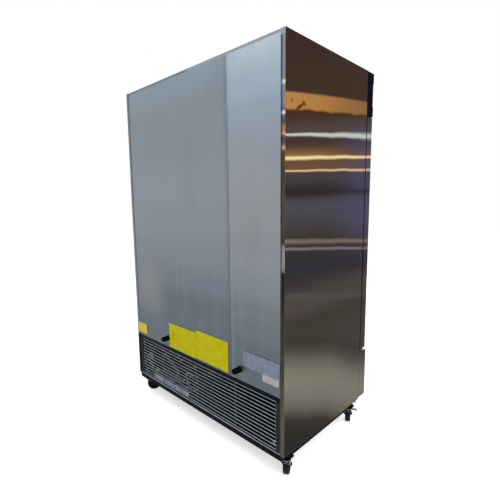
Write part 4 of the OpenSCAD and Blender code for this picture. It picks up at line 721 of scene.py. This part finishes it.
def caster_wheel(name, corner):
    """A dark tread round a paler hub. The tone goes by the distance from the axle."""
    g = Graph(name)
    point, x, y, z = g.place()
    axle = JOINTS[corner + "_wheel_roll"]
    ahead_x, ahead_y = axle["axis"][1], -axle["axis"][0]
    dx, dy, up = (g.math("SUBTRACT", value, at) for value, at in zip((x, y, z), axle["pos_m"]))
    along = g.math("ADD", g.math("MULTIPLY", dx, ahead_x), g.math("MULTIPLY", dy, ahead_y))
    away = g.math("SQRT", g.math("ADD", g.both(along, along), g.both(up, up)))
    tread, hub = ("#0c141d", "#141d28") if corner == "front_left" else ("#12130e", "#1c1d17")
    colour = g.tones(away, 0.0300, 0.0310, hub, tread)
    grime = g.noise(point, 28.0, 3.0)
    colour = g.cover(g.spread(grime, 0.45, 0.75, 0.0, 0.4), colour, "#2b2a22")
    rough = g.spread(away, 0.028, 0.032, 0.42, 0.62)
    normal = g.bump(g.noise(point, 300.0, 3.0), 0.00008, 0.6)
    return g.shade(colour, rough, 0.0, normal, Specular_IOR_Level=0.1)


def electric_black(name):
    """The electrical box with its leads: black, with a green earth lead."""
    g = Graph(name)
    point, x, y, _ = g.place()
    skin = g.noise(point, 500.0, 3.0)
    mottle = g.noise(point, 14.0, 3.0)
    colour = g.tones(mottle, 0.3, 0.7, "#06070b", "#0d0f15")
    earth = g.both(g.near(y, 0.280, 0.0045, 0.0040), g.spread(x, 0.5545, 0.5535))
    colour = g.cover(earth, colour, "#3f6b45")
    rough = g.spread(mottle, 0.3, 0.7, 0.45, 0.6)
    return g.shade(colour, rough, 0.0, g.bump(skin, 0.00005, 0.5), Specular_IOR_Level=0.12)


def drain_plastic(name):
    """The pale condensate pan, with painted shade inside it, and the black drain tube."""
    g = Graph(name)
    point, x, y, z = g.place()
    film = g.noise(point, 22.0, 4.0, (1, 1, 1), (3, 0, 4))
    low = g.spread(z, 0.1830, 0.1825)
    outside = g.both(g.math("MAXIMUM", g.spread(y, 0.3738, 0.3742), g.spread(z, 0.1808, 0.1813)), low)
    pan = g.both(low, g.spread(x, 0.119, 0.120))
    colour = g.mix(pan, tint("#0c0e12"), g.tones(film, 0.35, 0.65, "#5b6672", "#39424c"))
    colour = g.mix(outside, colour, g.tones(film, 0.35, 0.65, "#c6d2de", "#93a1b0"))
    rough = g.spread(film, 0.3, 0.7, 0.35, 0.5)
    return g.shade(colour, rough, 0.0, g.bump(film, 0.0002, 0.4), Specular_IOR_Level=0.2)


def sheet_paint(name, light, dark, crease, gloss=0.38):
    """A blank plate: even ink, faint mottling and painted shade in soft creases. gloss is its lowest
    roughness.
    """
    g = Graph(name)
    point, *_ = g.place()
    mottle = g.noise(point, 45.0, 4.0, (1, 1, 0.5))
    broad = g.noise(point, 9.0, 2.0, (1, 1, 1), (3, 3, 3))
    colour = g.tones(mottle, 0.35, 0.7, light, dark)
    colour = g.cover(g.spread(broad, 0.5, 0.8, 0.0, 0.35), colour, crease)
    rough = g.spread(broad, 0.3, 0.7, gloss, gloss + 0.15)
    return g.shade(colour, rough, 0.0, g.bump(mottle, 0.00005, 0.4), Specular_IOR_Level=0.04)


def display_glass(name):
    """The dark window of the display."""
    g = Graph(name)
    point, *_ = g.place()
    film = g.noise(point, 60.0, 3.0)
    colour = g.tones(film, 0.3, 0.7, "#121417", "#1b1e22")
    rough = g.spread(film, 0.3, 0.7, 0.12, 0.26)
    return g.shade(colour, rough, 0.0, g.bump(film, 0.00004, 0.3), Coat_Weight=0.4)


def glow(name):
    """The lit segments of the display."""
    g = Graph(name)
    point, *_ = g.place()
    colour = g.tones(g.noise(point, 900.0, 2.0), 0.3, 0.7, "#ff5a3c", "#ff8a60")
    return g.shade(colour, 0.4, Emission_Color=tint("#ff4a2a"), Emission_Strength=1.2)


# What each node wears
def slot_looks():
    """One look for each material slot of the record."""
    return {
        "stainless": steel("stainless_brushed"),
        "galvanised": galvanised("galvanised_sheet"),
        "foam": moulded("foam_yellow", "#d9c68a", "#c4ae6f", (0.8, 0.95), 260.0, 0.0004),
        "liner": stucco("stucco_aluminium"),
        "white_plastic": moulded("white_moulding", "#e3e3df", "#d6d6d0", (0.34, 0.5), dust=0.08),
        "black_paint": moulded("black_powder", "#0e1014", "#090a0d", (0.5, 0.66), 420.0, 0.00012,
                               worn="#1a1c22", Specular_IOR_Level=0.03),
        "black_plastic": moulded("black_moulding", "#080b18", "#060811", (0.5, 0.64), worn="#0e1220",
                                 Specular_IOR_Level=0.003),
        "display": display_glass("display_glass"),
        "button": moulded("button_rubber", "#8d9196", "#777b80", (0.5, 0.65)),
        "grille_wire": grille_coat("grille_wire_coat"),
        "rubber": moulded("black_rubber", "#08090c", "#050608", (0.5, 0.7), 350.0, 0.0001,
                          worn="#101218", Specular_IOR_Level=0.04),
        "lock": metal("lock_chrome", "#c9cbcd", "#a2a4a6", scale=200.0, rough=(0.12, 0.28)),
        "zinc": metal("zinc_plate", "#b9bfc2", "#8f959a", scale=120.0, rough=(0.22, 0.42)),
        "shelf_wire": moulded("shelf_epoxy", "#d5d8d9", "#c4c8ca", (0.28, 0.42)),
        "fins": fins("coil_fins"),
        "fan_plastic": moulded("fan_moulding", "#2a2c2f", "#1f2124", (0.4, 0.55)),
        "motor": metal("motor_lamination", "#55585c", "#3a3d40", scale=80.0, rough=(0.38, 0.55)),
        "copper": copper("copper_tube"),
        "lever": metal("lever_paint", "#5f6a66", "#3f4845", 0.4, scale=90.0, rough=(0.4, 0.6), bump=0.0001),
    }


def own_looks():
    """The looks of single nodes that differ from their slot's."""
    # The door cores' rim beyond 0.678 m is painted dark: shade in the gap at the doors' outer edges.
    door_core = moulded("door_inner_moulding", "#e2e2de", "#dddcd8", (0.38, 0.46), dust=0.08, rim=0.678)
    own = {
        # The compartment frame carries painted shade and a painted highlight on its sill.
        "compartment_frame": galvanised("compartment_sheet", dark=True),
        "caster_plates": caster_steel("caster_shaded"),
        "electrical_box": electric_black("electric_moulding"),
        "drain_line": drain_plastic("drain_moulding"),
        # The condenser coil is painted dark for the shade in the machine compartment.
        "condenser_coil": fins("condenser_fins", "#111315", "#34383c", "#1f1d1b"),
        "hinge_brackets": metal("hinge_steel", "#3a3c40", "#17181a", scale=90.0, rough=(0.35, 0.5)),
        # The tray is painted dark for the shade in the machine compartment.
        "condenser_tray": metal("tray_sheet", "#23272c", "#171a1e", 0.6, scale=30.0, rough=(0.4, 0.55)),
        "left_door_core": door_core,
        "right_door_core": door_core,
    }
    for corner in CORNERS:
        own[corner + "_wheel"] = caster_wheel(corner + "_tyre", corner)
        own[corner + "_fork"] = own["caster_plates"]
    return own


def dress():
    """Gives every node its material, and hands back the looks of the slots."""
    looks = slot_looks()
    own = own_looks()
    for name, thing in NODES.items():
        thing.data.materials.clear()
        thing.data.materials.append(own.get(name) or looks[SLOTS[name]])
    return looks


# Plates stuck on the back
def plate(name, x0, x1, z0, z1, y, material, lift=(0.0, 0.0)):
    """A thin bare plate with a faint ripple and cut corners. Its lower corners may lift a little."""
    columns, rows, thick = 14, 10, 0.35 * MM
    corner_cut, ripple_size, lift_fall = 0.875 * MM, 0.12 * MM, 9
    bm = bmesh.new()
    width, height = x1 - x0, z1 - z0

    def point(i, j, out):
        u, v = i / columns, j / rows
        x, z = x0 + width * u, z0 + height * v
        if i in (0, columns) and j in (0, rows):
            x += corner_cut if i == 0 else -corner_cut
            z += corner_cut if j == 0 else -corner_cut
        near_corners = (max(0.0, 1 - (side * side + v * v) * lift_fall) for side in (u, 1 - u))
        curl = sum(rise * near for rise, near in zip(lift, near_corners))
        ripple = ripple_size * (1 + math.sin(u * 7.1 + v * 3.3) * math.cos(v * 5.7))
        return bm.verts.new((x, y + out + curl + (ripple if out else 0), z))

    outer = [[point(i, j, thick) for i in range(columns + 1)] for j in range(rows + 1)]
    inner = [[point(i, j, 0) for i in range(columns + 1)] for j in range(rows + 1)]
    for j in range(rows):
        for i in range(columns):
            bm.faces.new((outer[j][i], outer[j][i + 1], outer[j + 1][i + 1], outer[j + 1][i]))
            bm.faces.new((inner[j][i], inner[j + 1][i], inner[j + 1][i + 1], inner[j][i + 1]))
    rim = [(0, i) for i in range(columns)] + [(j, columns) for j in range(rows)]
    rim += [(rows, i) for i in range(columns, 0, -1)] + [(j, 0) for j in range(rows, 0, -1)]
    for (j0, i0), (j1, i1) in zip(rim, rim[1:] + rim[:1]):
        bm.faces.new((inner[j0][i0], inner[j1][i1], outer[j1][i1], outer[j0][i0]))
    to_object(name, bm, material, "cabinet")


def add_plates():
    """The blank plates stuck on the back."""
    yellow = sheet_paint("plate_yellow", "#c1b80e", "#b2aa09", "#a0980e")
    pale_yellow = sheet_paint("plate_pale_yellow", "#d3c04e", "#c6b245", "#b5a444")
    lilac = sheet_paint("plate_lilac", "#80859a", "#737989", "#666c7e", 0.4)
    white = sheet_paint("plate_white", "#adaca7", "#9c9b96", "#84837e")
    plate("plate_small", 0.556, 0.675, 0.472, 0.545, BACK_Y, pale_yellow, (0, 0.5 * MM))
    plate("plate_wide_a", -0.009, 0.276, 0.462, 0.625, BACK_Y, yellow, (0.4 * MM, 0.9 * MM))
    plate("plate_wide_b", -0.296, -0.011, 0.467, 0.643, BACK_Y, yellow, (1.0 * MM, 0))
    plate("plate_long", -0.663, -0.412, 0.543, 0.630, BACK_Y, lilac)
    plate("plate_slim", -0.658, -0.549, 0.506, 0.553, BACK_Y, white)


# Rivets and bolts, as profiles of (radius, height) in millimetres
RIVET = ((2.4, -0.2), (2.4, 0.15), (1.9, 0.75), (1.0, 1.1), (0.55, 1.15), (0.5, 0.9))
HEX_BOLT = ((7.2, -0.1), (7.2, 3.4), (6.5, 4.0), (3.0, 4.0))
HEX_CORNERS = 6
RIVET_SEED, BOLT_SEED = 3, 5


def fasteners(name, profile, places, axis, zinc, seed, corners=None):
    """Many equal zinc rivets or bolts as one mesh on the cabinet, each turned by chance."""
    draw = random.Random(seed)
    bm = bmesh.new()
    for at in places:
        lathe(bm, profile, aimed(at, axis, draw.random() * FULL_TURN), corners=corners)
    to_object(name, bm, zinc, "cabinet")


def add_fasteners(zinc):
    """Rivets along the back panels' edges and a bolt at each corner of the caster plates."""
    low_z, high_z, bolt_z, bolt_reach = SKIRT_Z + 0.012, TOP_Z - 0.03, 0.116, 0.023
    rivets = [(x, BACK_Y, low_z) for x in (-0.64, -0.46, 0.36, 0.5, 0.64)]
    rivets += [(x, BACK_Y, high_z) for x in (-0.66, -0.5, -0.34, -0.28, 0.0, 0.3, 0.6)]
    rivets += [(x, BACK_Y, 0.72 + 0.16 * k) for k in range(9) for x in (-0.322, 0.682)]
    fasteners("back_rivets", RIVET, rivets, (0, 1, 0), zinc, RIVET_SEED)
    bolts = []
    for corner in CORNERS:
        x, y, _ = JOINTS[corner + "_caster_swivel"]["pos_m"]
        bolts += [(x + sx * bolt_reach, y + sy * bolt_reach, bolt_z) for sx in (-1, 1) for sy in (-1, 1)]
    fasteners("caster_bolts", HEX_BOLT, bolts, (0, 0, -1), zinc, BOLT_SEED, HEX_CORNERS)


# Behind the grille
WIRE_NUT = ((8.0, 0.0), (8.0, 4.0), (6.6, 10.0), (4.4, 14.0), (2.2, 15.0))
CABLE_TIE = ((9.6, -1.6), (10.2, -1.6), (10.2, 1.6), (9.6, 1.6))


def add_hoses(black):
    """The black hoses behind the grille."""
    bent("hose_over_pan", 5.5, black, (
        (0.078, 0.338, 0.262), (0.098, 0.346, 0.232), (0.150, 0.350, 0.212), (0.196, 0.351, 0.199),
        (0.250, 0.351, 0.188), (0.300, 0.350, 0.176), (0.322, 0.348, 0.160),
    ))
    turns = [FULL_TURN * k / 10 for k in range(11)]
    loop = [
        (0.206 + 0.021 * math.sin(a), 0.352 + 0.004 * math.cos(2 * a), 0.222 - 0.021 * math.cos(a))
        for a in turns
    ]
    bent("hose_loop", 4.0, black, loop, 4)
    bent("hose_branch", 6.0, black, (
        (-0.052, 0.332, 0.452), (-0.040, 0.332, 0.412), (-0.001, 0.333, 0.367), (0.040, 0.338, 0.333),
        (0.056, 0.346, 0.296),
    ))
    bent("hose_thin", 3.4, black, (
        (0.150, 0.352, 0.386), (0.108, 0.361, 0.372), (0.071, 0.364, 0.330), (0.066, 0.363, 0.270),
        (0.092, 0.360, 0.224), (0.104, 0.357, 0.176), (0.106, 0.357, 0.152),
    ))


def add_leads(black, white, lilac, olive, green):
    """The leads behind the grille, and the bare plate on the electrical box."""
    bent("lead_lilac", 2.4, lilac, (
        (0.610, 0.358, 0.302), (0.622, 0.366, 0.282), (0.576, 0.369, 0.242), (0.530, 0.368, 0.204),
        (0.516, 0.364, 0.204),
    ), 5)
    bent("lead_past_box", 2.2, black, (
        (0.518, 0.365, 0.2035), (0.500, 0.360, 0.214), (0.472, 0.345, 0.268), (0.444, 0.332, 0.330),
    ), 5)
    bent("lead_white", 1.6, white, (
        (0.066, 0.341, 0.268), (0.108, 0.331, 0.276), (0.166, 0.330, 0.281), (0.214, 0.322, 0.262),
        (0.232, 0.300, 0.200), (0.234, 0.288, 0.151),
    ))
    plate("plate_on_box", 0.560, 0.606, 0.274, 0.316, 0.3601, olive[0])
    for k in range(4):
        drop = 0.008 * k
        bent(f"lead_green_{k}", 2.6, green, (
            (0.557, 0.262, 0.286 - drop), (0.500, 0.252, 0.252 - drop), (0.452, 0.250, 0.222 - drop),
            (0.424 - drop, 0.252, 0.196), (0.412 - drop, 0.262, 0.1515),
        ))
    bent("lead_to_plug", 1.8, black, (
        (0.3528, 0.216, 0.3035), (0.372, 0.236, 0.300), (0.400, 0.290, 0.322), (0.436, 0.328, 0.334),
    ))


def add_plugs(white, orange):
    """Two plugs, a wire nut with its leads, and the ties round the loom."""
    bm = bmesh.new()
    blocks = (((0.442, 0.331, 0.334), (0.008, 0.005, 0.005)), ((0.158, 0.357, 0.197), (0.006, 0.004, 0.004)))
    for at, half in blocks:
        place = Matrix.Translation(at) @ Matrix.Diagonal((*half, 1.0))
        bmesh.ops.create_cube(bm, size=2.0, matrix=place)
    bmesh.ops.bevel(bm, geom=bm.edges[:], offset=0.8 * MM, segments=2, affect="EDGES")
    to_object("plugs", bm, white[0], "cabinet")
    bm = bmesh.new()
    nut_at = (0.372, 0.240, 0.283)
    lathe(bm, WIRE_NUT, aimed(nut_at, (0.25, 0.8, -0.2)), 16)
    to_object("wire_nut", bm, orange[0], "cabinet")
    bent("nut_leads", 1.8, white, ((0.3528, 0.217, 0.3035), (0.360, 0.224, 0.296), nut_at))
    bm = bmesh.new()
    ties = (
        ((0.068, 0.350, 0.366), (0.55, 0, 0.84)), ((0.055, 0.350, 0.312), (-0.22, 0, 0.97)),
        ((0.063, 0.350, 0.262), (-0.22, 0, 0.97)), ((0.077, 0.350, 0.208), (0, 0, 1)),
        ((0.240, 0.350, 0.3875), (1, 0, 0)), ((0.420, 0.350, 0.3875), (1, 0, 0)),
    )
    for at, axis in ties:
        lathe(bm, CABLE_TIE, aimed(at, axis))
    to_object("cable_ties", bm, white[0], "cabinet")


def add_clips(zinc):
    """A ring with its tail and a clip, which hold the grille at its -X end."""
    turns = [FULL_TURN * k / 12 for k in range(13)]
    ring = [
        (-0.627 + 0.011 * math.cos(a), 0.3935 + 0.0012 * math.sin(a), 0.203 + 0.012 * math.sin(a))
        for a in turns
    ]
    clip = (
        (-0.647, 0.3905, 0.388), (-0.640, 0.3945, 0.386), (-0.632, 0.3945, 0.382), (-0.625, 0.3925, 0.380),
    )
    tail = ((-0.616, 0.3935, 0.203), (-0.632, 0.3945, 0.192), (-0.645, 0.3930, 0.200))
    lines = [smooth_path(ring, 3), smooth_path(clip, 4), smooth_path(tail, 4)]
    bar_piece("grille_clips", lines, 1.5, zinc, 10)


def insulated(name, light, dark):
    """The look of a coloured lead or small moulded piece, as its material and slot."""
    return moulded(name, light, dark, (0.4, 0.55)), "white_plastic"


def add_compartment(looks):
    """Hoses, leads and ties behind the grille, and the clips on the grille."""
    black = looks["black_plastic"], "black_plastic"
    white = insulated("lead_white", "#c9ccd2", "#adb1b8")
    lilac = insulated("lead_lilac", "#9094ab", "#7c8098")
    olive = insulated("plate_olive", "#7b7434", "#645e2a")
    orange = insulated("nut_orange", "#b5793f", "#8f5a2c")
    green = insulated("lead_earth", "#5f8a66", "#44694b")
    add_hoses(black)
    add_leads(black, white, lilac, olive, green)
    add_plugs(white, orange)
    add_clips((looks["zinc"], "zinc"))


# The display's number
DIGIT_BARS = {"-": "g", "1": "bc", "8": "abcdefg"}


def add_digits():
    """Plain numbers on the display: minus eighteen, as bars with pointed ends."""
    width, height, bar = 8 * MM, 15 * MM, 1.5 * MM
    first_x, pitch, shoulder, fill = 30 * MM, 13 * MM, 0.34, 0.92
    low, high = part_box("display_module")
    middle_z = (low.z + high.z) / 2
    spots = {
        "a": (0, height / 2, width, bar), "g": (0, 0, width, bar), "d": (0, -height / 2, width, bar),
        "f": (-width / 2, height / 4, bar, height / 2), "b": (width / 2, height / 4, bar, height / 2),
        "e": (-width / 2, -height / 4, bar, height / 2), "c": (width / 2, -height / 4, bar, height / 2),
    }
    outline = ((-0.5, 0), (-shoulder, 0.5), (shoulder, 0.5), (0.5, 0), (shoulder, -0.5), (-shoulder, -0.5))
    bm = bmesh.new()
    y0, y1 = low.y + 0.9 * MM, low.y + 1.6 * MM
    for k, digit in enumerate("-18"):
        cx = low.x + first_x + k * pitch
        for letter in DIGIT_BARS[digit]:
            dx, dz, w, h = spots[letter]
            corners = []
            for along, across in outline:
                ux, uz = (across, along) if h > w else (along, across)
                corners.append((cx + dx + ux * w * fill, middle_z + dz + uz * h * fill))
            join_rings(bm, [[bm.verts.new((x, y, z)) for x, z in corners] for y in (y0, y1)])
    to_object("display_digits", bm, glow("display_light"), "cabinet")


def main():
    bpy.context.scene.view_settings.view_transform = "Standard"
    add_camera()
    add_world()
    for lamp in LAMPS:
        add_lamp(*lamp)
    add_floor()
    looks = dress()
    add_plates()
    add_fasteners(looks["zinc"])
    add_compartment(looks)
    add_digits()


main()
